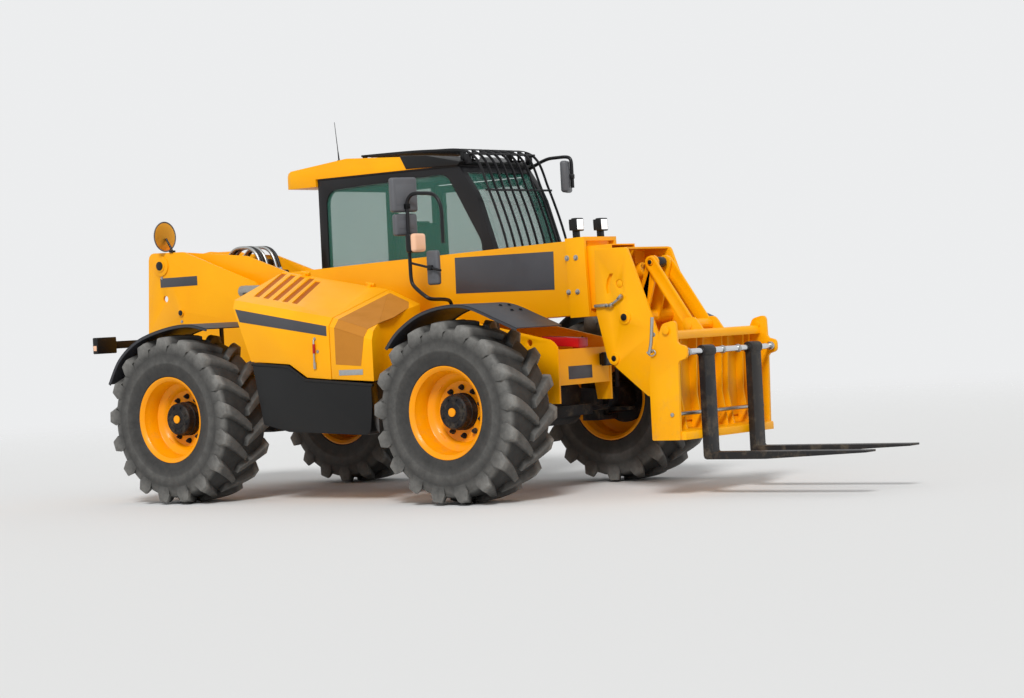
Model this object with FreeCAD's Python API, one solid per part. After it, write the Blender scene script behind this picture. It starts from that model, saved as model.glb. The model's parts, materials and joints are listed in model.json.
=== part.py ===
import FreeCAD, Part

import math
import os

V = FreeCAD.Vector

# Telehandler with pallet forks, in millimetres.
# X runs forward, Y to the machine's left and Z up. Work is done from mid-wheelbase at ground level,
# and every piece is moved at the end so that the origin lies under the middle of the outline.

# Stance and wheels
wheel_base = 2750.0
track = 1980.0
tyre_radius = 655.0
tyre_width = 500.0
carcass_radius = 614.0
lug_count = 17
lug_width = 46.0
lug_sweep = 36.0
wheel_sides = 34
rim_sides = 20
rim_flange_radius = 332.0
bead_radius = 306.0
bead_half_width = 206.0
rim_half_width = 222.0
rim_wall = 14.0
disc_depth = 16.0
hub_radius = 132.0
hub_length = 152.0
spindle_radius = 50.0
hub_sides = 12
kingpin_radius = 28.0
low_eye_radius = kingpin_radius / math.cos(math.pi / 10) + 0.3
stay_x = 115.0
stay_thick = 15.0
steer_pivot_y = 710.0
axle_z = tyre_radius
front_x = wheel_base / 2
rear_x = -wheel_base / 2
wheel_y = track / 2

# Rounded corners are cut as flats: turn of each in degrees, up to a corner radius
flat_steps = ((30.0, 50.0), (100.0, 30.0), (1000.0, 14.0))

# Fits
turn_fit = 0.05
slide_fit = 0.3
seat_gap = 0.3
swing_gap = 8.0

# Chassis
frame_half = 330.0
frame_plate = 20.0
frame_inner = frame_half - frame_plate
horn_front_x = 1730.0
tail_x = -2470.0
belly_z = 600.0
saddle_height = 40.0
yoke_half = 165.0

# Tow clevis behind the counterweight
clevis_low_z = 470.0
clevis_plate = 25.0
clevis_gap = 80.0
clevis_reach = 90.0
clevis_bore = 16.0
clevis_half = 60.0

# Boom
boom_pivot = V(-2280.0, 0.0, 1880.0)
boom_rise = 1.6
boom_top_z = boom_pivot.z - 160.0
boom_depth = 540.0
boom_half = 185.0
boom_wall = 12.0
boom_rear_x = -1150.0
boom_front_x = 1750.0
collar_length = 170.0
collar_lip = 18.0
inner_side_clear = 25.0
inner_top_clear = 40.0
inner_front_x = 2120.0
pivot_pin_radius = 45.0
boom_travel = 2600.0

# Lift cylinder, under the boom
lift_base = V(-2150.0, 0.0, 900.0)
lift_way = V(1370.0, 0.0, 150.0).normalize()
lift_barrel_length = 1200.0
lift_rod_shown = 178.187
lift_eye = lift_base + lift_way * (lift_barrel_length + lift_rod_shown)
lift_barrel_radius = 75.0
lift_rod_radius = 45.0
lift_pin_radius = 35.0
lift_rod_inside = 130.0
lift_back_room = 30.0

tower_pin = V(-2075.0, 0.0, 1486.0)

ram_sides = 18

# Head and tilt gear at the end of the boom
head_half = 285.0
head_plate = 25.0
tilt_pivot = V(2620.0, 0.0, 780.0)
lever_pivot = V(2310.0, 0.0, 1260.0)
lever_eye = V(2430.0, 0.0, 1640.0)
tilt_base = V(1900.0, 0.0, 1450.0)
link_foot = V(2740.0, 0.0, 1180.0)
head_boss = V(2200.0, 0.0, 970.0)
head_pin_radius = 30.0
tilt_barrel_radius = 52.0
tilt_rod_radius = 30.0
tilt_eye_half = 44.0
tilt_pin_radius = 25.0
tilt_barrel_length = 430.0
tilt_rod_inside = 118.0
tilt_back_room = 74.0
lever_inner = 66.0
lever_plate = 22.0
lever_stub_radius = 22.0
link_inner = 96.0
link_plate = 18.0
link_drift_room = 6.0
link_lug_inner = 120.0
link_lug_plate = 18.0
tilt_lug_inner = 225.0
tilt_lug_plate = 25.0

# Carriage and forks
carriage_half = 590.0
carriage_plate = 25.0
carriage_spine_x = 2760.0
fork_bar_radius = 22.0
fork_bar = V(2990.0, 0.0, 1000.0)
fork_spacing = 600.0
fork_width = 130.0
fork_shank = 50.0
fork_reach = 1280.0
fork_top_z = 300.0
fork_tip = 14.0

# Cab
cab_right_y = 230.0
cab_left_y = 1120.0
cab_wall = 50.0
roof_low_z = 2500.0
glass_thick = 6.0
door_rear_x = -480.0
door_hinge_y = cab_left_y + 16.0
door_hinge_heights = (1150.0, 2200.0)
door_rail_z = 1400.0
cab_floor_z = 980.0
guard_bars = 9
seat_y = 675.0
seat_z = 1360.0
door_frame_width = 60.0

# Engine pod, its ridge and crease falling from the rear to the nose
pod_inner_y = -420.0
pod_crease_y = -1070.0
pod_side_y = -1120.0
pod_rear_x = -840.0
pod_seam_x = 240.0
pod_nose_x = 660.0
pod_rear_top = 1760.0
pod_seam_top = 1566.0
pod_nose_top = 1390.0
pod_fall = 195.0
pod_nose_fall = 140.0
pod_wall = 16.0
exhaust_radius = 45.0

# Right mirror mast
mast_x = 825.0
mast_y = -850.0
mast_radius = 14.0
clamp_half = 18.0
strut_radius = 9.0
left_arm_x = 850.0
left_arm_out = 40.0

# Pipes over the boom's root
pipe_rows = (-120.0, -80.0, -40.0, 60.0, 100.0)
pipe_radius = 13.0

# Outlines as (x, z, radius) seen from the right
frame_side = [
    (-2440, 640, 0), (tail_x, 1330, 0), (-2420, 1990, 60), (-2020, 1980, 60), (-1225, 1690, 40),
    (-1060, 1330, 80), (-700, 1190, 60), (560, 1190, 0), (800, 1320, 0), (1680, 1120, 60),
    (horn_front_x, 1060, 40), (1725, 660, 0), (1600, 660, 0), (1570, 850, 60), (1180, 850, 60),
    (1130, belly_z, 0), (-1130, belly_z, 0), (-1180, 850, 60), (-1570, 850, 60), (-1610, 640, 0),
]
boom_ear = [
    (-2370, 1790, 70), (-2370, 1970, 80), (-2200, 1985, 60), (-1450, 1890, 120), (-1000, 1716, 0),
    (-1000, 1190, 0), (-1180, 1185, 60), (-1500, 1330, 80), (-2000, 1690, 80), (-2200, 1780, 40),
]
head_side = [
    (2070, 1760, 20), (2060, 1300, 50), (2140, 960, 60), (2480, 690, 40), (2680, 690, 50), (2690, 800, 50),
    (2570, 1160, 120), (2350, 1755, 30),
]
head_back = [
    (2062, 1300, 0), (2142, 962, 0), (2470, 696, 0), (2470, 722, 0), (2164, 972, 0), (2084, 1300, 0),
]
carriage_side = [
    (2700, 400, 10), (2700, 800, 20), (2725, 985, 30), (2830, 1200, 40), (2940, 1225, 30), (2945, 1060, 20),
    (3020, 1040, 30), (3020, 960, 30), (2945, 940, 20), (2930, 400, 10),
]
cab_side = [
    (-530, 980, 0), (540, 980, 0), (540, 1250, 0), (745, 1450, 80), (785, 1750, 200),
    (620, roof_low_z - 250, 300), (450, roof_low_z, 0), (-1010, roof_low_z, 0), (-1020, 1440, 0),
    (-530, 1440, 0),
]
door_opening = [
    (-480, 1010, 0), (480, 1010, 0), (480, 1270, 0), (690, 1475, 0), (722, 1760, 200),
    (570, roof_low_z - 260, 250), (440, roof_low_z - 80, 0), (-480, roof_low_z - 80, 0),
]
right_window = [
    (-940, 1500, 0), (-930, roof_low_z - 100, 120), (330, roof_low_z - 60, 120), (640, 1900, 150),
    (660, 1500, 0),
]
quarter_window = [
    (-930, 1520, 0), (-930, roof_low_z - 100, 100), (-530, roof_low_z - 100, 0), (-530, 1520, 0),
]
windscreen_box = (250.0, 900.0, 1440.0, roof_low_z - 60)
rear_window_box = (-1100.0, -900.0, 1520.0, roof_low_z - 100)
roof_side = [
    (-1360, roof_low_z - 60, 20), (-1330, roof_low_z + 80, 60), (-680, roof_low_z + 140, 0),
    (150, roof_low_z + 90, 0), (480, roof_low_z + 20, 0), (450, roof_low_z, 0), (-1022, roof_low_z, 0),
    (-1022, roof_low_z - 60, 0),
]
guard_side = [
    (-560, roof_low_z + 160), (120, roof_low_z + 146), (540, roof_low_z + 90), (700, roof_low_z - 200),
    (855, 1830), (830, 1520),
]
front_fender = [
    (870, 1130), (990, 1250), (1190, 1360), (1420, 1410), (1640, 1400), (1900, 1300), (2070, 1230),
]
rear_fender = [(-2010, 950), (-1880, 1140), (-1670, 1280), (-1380, 1360), (-1110, 1385), (-900, 1345)]
fender_sheet = 8.0
fender_lip = 22.0
bumper_x = 1722.0
bumper_low_z = 790.0
bumper_top_z = 1050.0

pod_low_cut = [
    (-950, 400, 0), (800, 400, 0), (800, 885, 0), (pod_seam_x, 920, 0), (0, 940, 0), (-170, 1043, 0),
    (-560, 1075, 0), (-950, 1075, 0),
]

# Cross members between the side plates, as (x0, x1, z0, z1)
cross_members = [
    (-2440, -2260, 640, 860), (-1100, -1000, 740, 820), (-300, -200, 740, 860), (520, 620, 740, 860),
    (1060, 1140, 740, 900),
]

# Where neighbours across the machine begin
boss_inner = 288.0
lift_eye_half = 42.0
lift_lug_inner = 52.0
lift_lug_plate = 25.0
ear_inner = 163.0

# Bonnet hinge along the pod's sloping ridge
ridge_rear = V(pod_rear_x, 0.0, pod_rear_top)
ridge_front = V(pod_seam_x, 0.0, pod_seam_top)
hinge_y = pod_inner_y - 2.0
hinge_rise = 14.0
hinge_pin_radius = 8.0
hinge_places = (-600.0, 60.0)


def rounded(points):
    """(a, b) pairs of an outline of (a, b, radius) corners, each rounded one cut as a few short flats."""
    pairs = []
    count = len(points)
    for i, (a, b, radius) in enumerate(points):
        if radius == 0:
            pairs.append((a, b))
            continue
        here = V(a, b, 0)
        to_before = (V(*points[i - 1][:2], 0) - here).normalize()
        to_after = (V(*points[(i + 1) % count][:2], 0) - here).normalize()
        half = to_before.getAngle(to_after) / 2
        centre = here + (to_before + to_after).normalize() * (radius / math.sin(half))
        first = here + to_before * (radius / math.tan(half)) - centre
        last = here + to_after * (radius / math.tan(half)) - centre
        turn = math.pi - 2 * half
        step = next(angle for limit, angle in flat_steps if radius < limit)
        flats = max(1, round(math.degrees(turn) / step))
        for k in range(flats + 1):
            share = k / flats
            way = first * math.sin((1 - share) * turn) + last * math.sin(share * turn)
            corner = centre + way * (1 / math.sin(turn))
            pairs.append((corner.x, corner.y))
    return pairs


def outline(points, place):
    """A closed wire through (a, b, radius) corners; place turns (a, b) into a vector."""
    corners = [place(a, b) for a, b in rounded(points)]
    return Part.makePolygon(corners + [corners[0]])


def side_plate(points, y0, y1):
    """A plate cut to a side-view outline of (x, z, radius), from y0 to y1."""
    wire = outline(points, lambda x, z: V(x, y0, z))
    return Part.Face(wire).extrude(V(0, y1 - y0, 0))


def plan_plate(points, z0, z1):
    """A plate cut to a plan outline of (x, y, radius), from z0 to z1."""
    wire = outline(points, lambda x, y: V(x, y, z0))
    return Part.Face(wire).extrude(V(0, 0, z1 - z0))


def block(x0, x1, y0, y1, z0, z1):
    return Part.makeBox(x1 - x0, y1 - y0, z1 - z0, V(x0, y0, z0))


def bar(start, end, radius):
    """A round bar from start to end."""
    run = end - start
    return Part.makeCylinder(radius, run.Length, start, run)


def pin_y(at, half_length, radius):
    """A round bar across the machine, centred on the middle."""
    return bar(V(at.x, -half_length, at.z), V(at.x, half_length, at.z), radius)


def skinned(rings):
    """A solid with flat faces through rings of as many corners, each ring listed the same way round."""
    count = len(rings[0])
    faces = [Part.Face(Part.makePolygon(rings[0] + [rings[0][0]]))]
    for low, high in zip(rings, rings[1:]):
        for i in range(count):
            k = (i + 1) % count
            faces.append(Part.Face(Part.makePolygon([low[i], low[k], high[k], low[i]])))
            faces.append(Part.Face(Part.makePolygon([low[i], high[k], high[i], low[i]])))
    faces.append(Part.Face(Part.makePolygon(rings[-1] + [rings[-1][0]])))
    return Part.makeSolid(Part.makeShell(faces)).removeSplitter()


def bent_tube(points, radius, sides=8):
    """A many-sided tube along straight runs, mitred where they meet."""
    first = (points[1] - points[0]).normalize()
    across = first.cross(V(0.31, 0.87, 0.39)).normalize()
    upward = first.cross(across).normalize()
    step = 2 * math.pi / sides
    corners = [
        across * (radius * math.cos(i * step)) + upward * (radius * math.sin(i * step))
        for i in range(sides)
    ]
    rings = [[points[0] + c for c in corners]]
    for i in range(1, len(points)):
        run = (points[i] - points[i - 1]).normalize()
        normal = run if i == len(points) - 1 else (run + (points[i + 1] - points[i]).normalize()).normalize()
        last = rings[-1]
        rings.append([c + run * ((points[i] - c).dot(normal) / run.dot(normal)) for c in last])
    return skinned(rings)


def fuse(shapes):
    return shapes[0].multiFuse(shapes[1:]).removeSplitter()


def group(shapes):
    return Part.makeCompound(shapes)


def mirrored(shape):
    """The same piece on the other side of the machine."""
    return shape.mirror(V(0, 0, 0), V(0, 1, 0))


def both_sides(shape):
    return [shape, mirrored(shape)]


def moved(shape, dx, dy, dz):
    copy = shape.copy()
    copy.translate(V(dx, dy, dz))
    return copy


def raised(shape):
    """Turned from level to the boom's resting rise."""
    copy = shape.copy()
    copy.rotate(boom_pivot, V(0, -1, 0), boom_rise)
    return copy


def ring(radius, s, sides):
    """Corners of a regular outline about the wheel's axis, s out from the wheel's middle plane."""
    step = 2 * math.pi / sides
    return [V(radius * math.cos(i * step), s, radius * math.sin(i * step)) for i in range(sides)]


def turned(stations, sides):
    """A many-sided turned body through (s, radius) stations, with flat faces."""
    rings = [ring(radius, s, sides) for s, radius in stations]
    faces = [Part.Face(Part.makePolygon(rings[0] + [rings[0][0]]))]
    for low, high in zip(rings, rings[1:]):
        for i in range(sides):
            k = (i + 1) % sides
            faces.append(Part.Face(Part.makePolygon([low[i], low[k], high[k], high[i], low[i]])))
    faces.append(Part.Face(Part.makePolygon(rings[-1] + [rings[-1][0]])))
    return Part.makeSolid(Part.makeShell(faces))


def drum(start, end, radius, sides=12):
    """A many-sided bar from start to end."""
    return bent_tube([start, end], radius, sides)


def drum_y(at, y0, y1, radius, sides=12):
    return drum(V(at.x, y0, at.z), V(at.x, y1, at.z), radius, sides)


def tapered(sections):
    """A casting through (y, half width in x, half height in z) sections with cut corners."""
    rings = []
    for y, a, b in sections:
        c = 0.3 * min(a, b)
        corners = [
            (-a, -b + c), (-a + c, -b), (a - c, -b), (a, -b + c), (a, b - c), (a - c, b), (-a + c, b),
            (-a, b - c),
        ]
        rings.append([V(x, y, z) for x, z in corners])
    return skinned(rings)


# Wheels, made with the outer side towards +Y about the origin

def make_lug():
    """One bar of the tread, from the tyre's middle out to its shoulder."""
    half = tyre_width / 2
    tilt = math.radians(lug_sweep)
    length = (half - 5 - lug_width / 2 * math.sin(tilt)) / math.cos(tilt)
    reach = length / 2 * math.sin(tilt) + lug_width / 2 * math.cos(tilt)
    top = math.sqrt(tyre_radius ** 2 - reach ** 2)
    foot = carcass_radius - 90
    lug = Part.makeBox(lug_width, length, top - foot, V(-lug_width / 2, 0, foot))
    lug.rotate(V(0, 0, 0), V(0, 0, 1), -lug_sweep)
    lug.translate(V(-length / 2 * math.sin(tilt), 0, 0))
    return lug


def make_tyre():
    half = tyre_width / 2
    carcass = turned(
        [
            (-bead_half_width, bead_radius + 40),
            (-half, 520),
            (-half + 60, carcass_radius),
            (half - 60, carcass_radius),
            (half, 520),
            (bead_half_width, bead_radius + 40),
        ],
        wheel_sides,
    )
    seat = bead_radius + seat_gap
    bore = turned([(-half, seat), (half, seat)], rim_sides)
    outer_lug = make_lug()
    inner_lug = mirrored(outer_lug)
    pitch = 360.0 / lug_count
    lugs = []
    for i in range(lug_count):
        for lug, lead in ((outer_lug, 0.25), (inner_lug, 0.75)):
            copy = lug.copy()
            copy.rotate(V(0, 0, 0), V(0, 1, 0), (i + lead) * pitch)
            lugs.append(copy)
    return carcass.multiFuse(lugs).cut(bore)


def make_rim():
    barrel_bore = bead_radius - rim_wall
    outer = turned(
        [
            (-rim_half_width, rim_flange_radius),
            (-bead_half_width, bead_radius),
            (bead_half_width, bead_radius),
            (rim_half_width, rim_flange_radius),
        ],
        rim_sides,
    )
    lip = rim_flange_radius - rim_wall
    dish = turned(
        [(disc_depth, 225), (disc_depth + 34, barrel_bore), (bead_half_width, barrel_bore), (rim_half_width, lip)],
        rim_sides,
    )
    back = turned([(-rim_half_width, barrel_bore), (0, barrel_bore - 20)], rim_sides)
    eye = turned([(-10, hub_radius + seat_gap), (disc_depth + 10, hub_radius + seat_gap)], hub_sides)
    return outer.cut(dish).cut(back).cut(eye)


def make_hub():
    """Planet carrier that stands through the disc, with its flange behind the disc."""
    flange = turned([(-28, 205), (0, 205)], hub_sides)
    body = turned(
        [(-10, hub_radius), (hub_length - 16, hub_radius), (hub_length, hub_radius - 22)], hub_sides,
    ).fuse(flange)
    socket = bar(V(0, -30, 0), V(0, hub_length - 40, 0), spindle_radius + turn_fit)
    return body.cut(socket)


def make_knuckle(arm_way):
    """Steered end of an axle: kingpins, ball housing, spindle and steering arm, about the wheel's middle."""
    pivot = steer_pivot_y - wheel_y
    housing = turned([(pivot - 60, 90), (pivot + 40, 125), (-34, 125)], hub_sides)
    spindle = bar(V(0, -40, 0), V(0, hub_length - 50, 0), spindle_radius)
    top_pin = bar(V(0, pivot, 0), V(0, pivot, 168), kingpin_radius)
    low_pin = drum(V(0, pivot, -168), V(0, pivot, 0), kingpin_radius, 10)
    reach = arm_way * 250
    arm = plan_plate(
        [(reach, pivot - 40, 0), (reach, pivot + 40, 0), (0, pivot + 90, 0), (0, pivot - 20, 0)], -100, -72,
    )
    foot = block(60, stay_x + stay_thick, pivot - 10, pivot + 25, -20, 80)
    return fuse([housing, spindle, top_pin, low_pin, arm, foot])


def make_axle(x, arm_way):
    """Beam, gear housing and forked ends of one axle."""
    reach = steer_pivot_y + 62
    beam = tapered([
        (-530, 70, 75), (-300, 90, 95), (-180, 150, 165), (180, 150, 165), (300, 90, 95), (530, 70, 75),
    ])
    nose = block(-75, 75, -80, 80, -75, 75)
    nose.translate(V(-arm_way * 200, 0, 0))
    parts = [beam, nose]
    for side in (-1, 1):
        near, far = sorted((side * 520, side * reach))
        yoke = block(-75, 75, near, far, -yoke_half, yoke_half)
        near, far = sorted((side * 585, side * 900))
        slot = block(-80, 80, near, far, -132, 132)
        pivot = V(0, side * steer_pivot_y, 0)
        top_eye = bar(pivot, pivot + V(0, 0, 200), kingpin_radius + turn_fit)
        low_eye = drum(pivot - V(0, 0, 200), pivot, low_eye_radius, 10)
        parts.append(yoke.cut(slot).cut(top_eye).cut(low_eye))
    ram = block(-40, 40, -240, 240, -40, 40)
    ram.translate(V(arm_way * 185, 0, -60))
    rod = drum_y(V(arm_way * 185, 0, -60), -480, 480, 20, 8)
    parts += [ram, rod]
    axle = fuse(parts)
    axle.translate(V(x, 0, axle_z))
    return axle


def ribbon(points, width, y0, y1):
    """A flat strip of even width along (x, z) points, its upper or outer face on them."""
    last = len(points) - 1
    inner = []
    for i, (x, z) in enumerate(points):
        before = points[max(i - 1, 0)]
        after = points[min(i + 1, last)]
        run = V(after[0] - before[0], 0, after[1] - before[1]).normalize()
        inner.append((x + run.z * width, z - run.x * width, 0))
    outer = [(x, z, 0) for x, z in points]
    return side_plate(outer + inner[::-1], y0, y1)


def make_fender(front):
    """Mudguard sheet with a turned-down outer lip and its stay, in its place over the left wheel."""
    top = front_fender if front else rear_fender
    x = front_x if front else rear_x
    inner = steer_pivot_y + 6
    outer = wheel_y + tyre_width / 2 - 2
    sheet = ribbon(top, fender_sheet, inner, outer)
    lip = ribbon(top, fender_lip, outer - fender_sheet, outer)
    stay_top = 1404 if front else 1368
    low = axle_z + 80
    stay = block(x + stay_x, x + stay_x + stay_thick, steer_pivot_y - 10, steer_pivot_y + 25, low, stay_top)
    return fuse([sheet, lip, stay])


# Chassis: two side plates with the boom between them

def saddle_top():
    return axle_z + yoke_half + saddle_height


def make_chassis():
    side = side_plate(frame_side, frame_inner, frame_half)
    for x, z, radius in ((-2250, 1606, 28), (1480, 1110, 26)):
        side = side.cut(drum_y(V(x, 0, z), 0, 500, radius))
    boss = drum_y(boom_pivot, boss_inner, frame_half + 12, 85, 16)
    lift_boss = drum_y(lift_base, lift_eye_half + 4, frame_half + 8, 60)
    pivot_end = drum_y(boom_pivot, frame_half + 2, frame_half + 20, pivot_pin_radius + 6, 10)
    lift_end = drum_y(lift_base, frame_half - 2, frame_half + 14, lift_pin_radius + 4, 10)
    sides = both_sides(fuse([side, boss, lift_boss, pivot_end, lift_end]))
    members = [block(x0, x1, -frame_inner, frame_inner, z0, z1) for x0, x1, z0, z1 in cross_members]
    pins = [
        pin_y(boom_pivot, boss_inner + 5, pivot_pin_radius),
        pin_y(lift_base, lift_eye_half + 9, lift_pin_radius),
        drum_y(tower_pin, -frame_half - 12, frame_half + 12, 30, 10),
    ]
    bumper = block(1640, bumper_x, -frame_inner, frame_inner, bumper_low_z, bumper_top_z)
    saddles = [
        block(x - 150, x + 150, -frame_inner, frame_inner, axle_z + yoke_half, saddle_top())
        for x in (front_x, rear_x)
    ]
    return fuse(sides + members + pins + [bumper] + saddles)


def make_prop():
    """Boom prop stowed between the horns on two feet."""
    channel = side_plate([(1390, 1080, 0), (1720, 1060, 0), (1720, 1125, 0), (1390, 1150, 0)], -60, 60)
    front_foot = block(1650, 1715, -40, 40, bumper_top_z, 1075)
    rear_foot = block(1400, 1450, -40, 40, saddle_top(), 1090)
    return fuse([channel, front_foot, rear_foot])


def clevis_pin():
    """Middle of the tow clevis, where the trailer's pin stands."""
    return V(tail_x - 30 - clevis_reach + 40, 0, clevis_low_z + clevis_plate + clevis_gap / 2)


def make_counterweight():
    """Tail weight with the tow clevis hung from it."""
    back = -2440.0
    end = tail_x - 30
    low = 660.0
    body = plan_plate([(end, -300, 40), (end, 300, 40), (back, 300, 0), (back, -300, 0)], low, 900)
    carrier = block(end, back, -clevis_half, clevis_half, clevis_low_z, low)
    parts = [body, carrier]
    for z in (clevis_low_z, clevis_low_z + clevis_plate + clevis_gap):
        corners = [
            (end - clevis_reach, -clevis_half, 30), (end - clevis_reach, clevis_half, 30),
            (end, clevis_half, 0), (end, -clevis_half, 0),
        ]
        parts.append(plan_plate(corners, z, z + clevis_plate))
    pin = clevis_pin()
    return fuse(parts).cut(bar(pin - V(0, 0, 100), pin + V(0, 0, 100), clevis_bore))


def lowered(point):
    """Where a resting point lies while the boom is level."""
    turn = FreeCAD.Rotation(V(0, 1, 0), boom_rise)
    return boom_pivot + turn.multVec(point - boom_pivot)


def make_boom_outer():
    half = boom_half
    top = boom_top_z
    low = top - boom_depth
    end_x = boom_front_x + collar_length
    skin = block(boom_rear_x, boom_front_x, -half, half, low, top)
    collar = block(
        boom_front_x, end_x, -half - collar_lip, half + collar_lip, low - collar_lip, top + collar_lip,
    )
    inside = half - boom_wall
    hollow = block(boom_rear_x - 200, end_x + 10, -inside, inside, low + boom_wall, top - boom_wall)
    bore = pin_y(boom_pivot, 400, pivot_pin_radius + turn_fit)
    ears = both_sides(side_plate(boom_ear, ear_inner, half))
    boss = drum_y(boom_pivot, 3 - boss_inner, boss_inner - 3, 80, 16)
    eye = lowered(lift_eye)
    lug = side_plate(
        [
            (eye.x - 150, low + 5, 0), (eye.x - 60, eye.z - 62, 50), (eye.x + 60, eye.z - 62, 50),
            (eye.x + 150, low + 5, 0),
        ],
        lift_lug_inner, lift_lug_inner + lift_lug_plate,
    )
    body = fuse([skin, collar]).cut(hollow)
    pads = wear_pads()
    return raised(fuse([body, boss.cut(bore)] + [ear.cut(bore) for ear in ears] + both_sides(lug) + pads))


def make_boom_inner():
    half = boom_half - boom_wall - inner_side_clear
    top = boom_top_z - boom_wall - inner_top_clear
    low = boom_top_z - boom_depth + boom_wall + inner_side_clear
    skin = block(boom_rear_x + 60, inner_front_x, -half, half, low, top)
    hollow = block(boom_rear_x, inner_front_x + 10, -half + 10, half - 10, low + 10, top - 10)
    return raised(skin.cut(hollow)).fuse(pin_y(tilt_base, half - 5, tilt_pin_radius))


def wear_pads():
    """Sliding pads in the mouth of the outer boom."""
    half = boom_half - boom_wall
    top = boom_top_z - boom_wall
    low = boom_top_z - boom_depth + boom_wall
    x0 = boom_front_x + 20
    x1 = boom_front_x + collar_length - 20
    side = inner_side_clear - slide_fit
    above = inner_top_clear - slide_fit
    return [
        block(x0, x1, -half + 40, half - 40, top - above, top),
        block(x0, x1, -half + 40, half - 40, low, low + side),
        block(x0, x1, -half, -half + side, low + 60, top - 90),
        block(x0, x1, half - side, half, low + 60, top - 90),
    ]


def make_head():
    """Gooseneck: two cheek plates closed behind, with the pins of the tilt gear."""
    inner = head_half - head_plate
    cheek = side_plate(head_side, inner, head_half)
    boss = drum_y(head_boss, inner - 20, head_half + 14, 45)
    cheek = cheek.fuse(boss).cut(drum_y(head_boss, 0, 400, 22, 10))
    for at in (lever_pivot, tilt_pivot):
        cheek = cheek.fuse(drum_y(at, head_half - 1, head_half + 10, 50))
        cheek = cheek.fuse(drum_y(at, head_half + 9, head_half + 18, head_pin_radius, 10))
    boom_side = boom_half - boom_wall - inner_side_clear
    fillers = both_sides(block(2075, 2125, boom_side, inner, 1320, 1758))
    back = side_plate(head_back, -inner, inner)
    cover = block(2128, 2335, -inner, inner, 1742, 1756)
    pins = [pin_y(at, inner + 5, head_pin_radius) for at in (lever_pivot, tilt_pivot)]
    return fuse(both_sides(cheek) + fillers + [back, cover] + pins)


def strap(a, b, width, y0, y1):
    """A flat arm with round ends between two pins."""
    run = V(b.x - a.x, 0, b.z - a.z).normalize()
    ahead = run * (width / 2)
    side = V(-run.z, 0, run.x) * (width / 2)
    corners = [a - ahead + side, a - ahead - side, b + ahead - side, b + ahead + side]
    return side_plate([(p.x, p.z, width / 2 - 0.01) for p in corners], y0, y1)


def make_lever():
    """Rocking lever between the tilt rod, the links and the head."""
    arm = strap(lever_pivot, lever_eye, 100, lever_inner, lever_inner + lever_plate)
    stub = drum_y(lever_eye, lever_inner, link_inner + link_plate + 4, lever_stub_radius)
    hub_half = head_half - head_plate - 3
    hub = drum_y(lever_pivot, -hub_half, hub_half, 48)
    return fuse(both_sides(arm.fuse(stub)) + [hub]).cut(pin_y(lever_pivot, 300, head_pin_radius + turn_fit))


def make_link():
    """Pair of links from the lever's end down to the carriage."""
    arm = strap(link_foot, lever_eye, 90, link_inner, link_inner + link_plate)
    arm = arm.cut(drum_y(lever_eye, 0, 300, lever_stub_radius + link_drift_room))
    tie = drum_y(link_foot, -link_inner - 1, link_inner + 1, 44)
    return fuse(both_sides(arm) + [tie]).cut(pin_y(link_foot, 300, head_pin_radius + turn_fit))


def make_ram(base, eye, barrel_radius, rod_radius, pin_radius, eye_half, inside, back_room, barrel_length):
    """Barrel and rod of a cylinder: the barrel turns on the pin at base and the rod's eye is at eye."""
    way = (eye - base).normalize()
    length = base.distanceToPoint(eye)
    boss = drum_y(base, -eye_half, eye_half, barrel_radius * 0.85)
    neck = drum(base, base + way * (barrel_radius * 1.3), eye_half * 0.95)
    case = drum(base + way * (barrel_radius * 1.2), base + way * barrel_length, barrel_radius, ram_sides)
    gland = drum(
        base + way * (barrel_length - 60), base + way * barrel_length, barrel_radius + 4, ram_sides,
    )
    hollow = drum(
        base + way * (inside - back_room), base + way * (barrel_length + 5), rod_radius + slide_fit,
        ram_sides,
    )
    pin_bore = pin_y(base, eye_half + 5, pin_radius + turn_fit)
    barrel = fuse([boss, neck, case, gland]).cut(hollow).cut(pin_bore)
    rod_eye = drum_y(eye, -eye_half, eye_half, rod_radius * 1.25)
    rod = drum(base + way * inside, base + way * length, rod_radius, ram_sides)
    return barrel, fuse([rod, rod_eye])


def make_lift():
    return make_ram(
        lift_base, lift_eye, lift_barrel_radius, lift_rod_radius, lift_pin_radius, lift_eye_half,
        lift_rod_inside, lift_back_room, lift_barrel_length,
    )


def make_tilt():
    return make_ram(
        tilt_base, lever_eye, tilt_barrel_radius, tilt_rod_radius, tilt_pin_radius, tilt_eye_half,
        tilt_rod_inside, tilt_back_room, tilt_barrel_length,
    )


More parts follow.
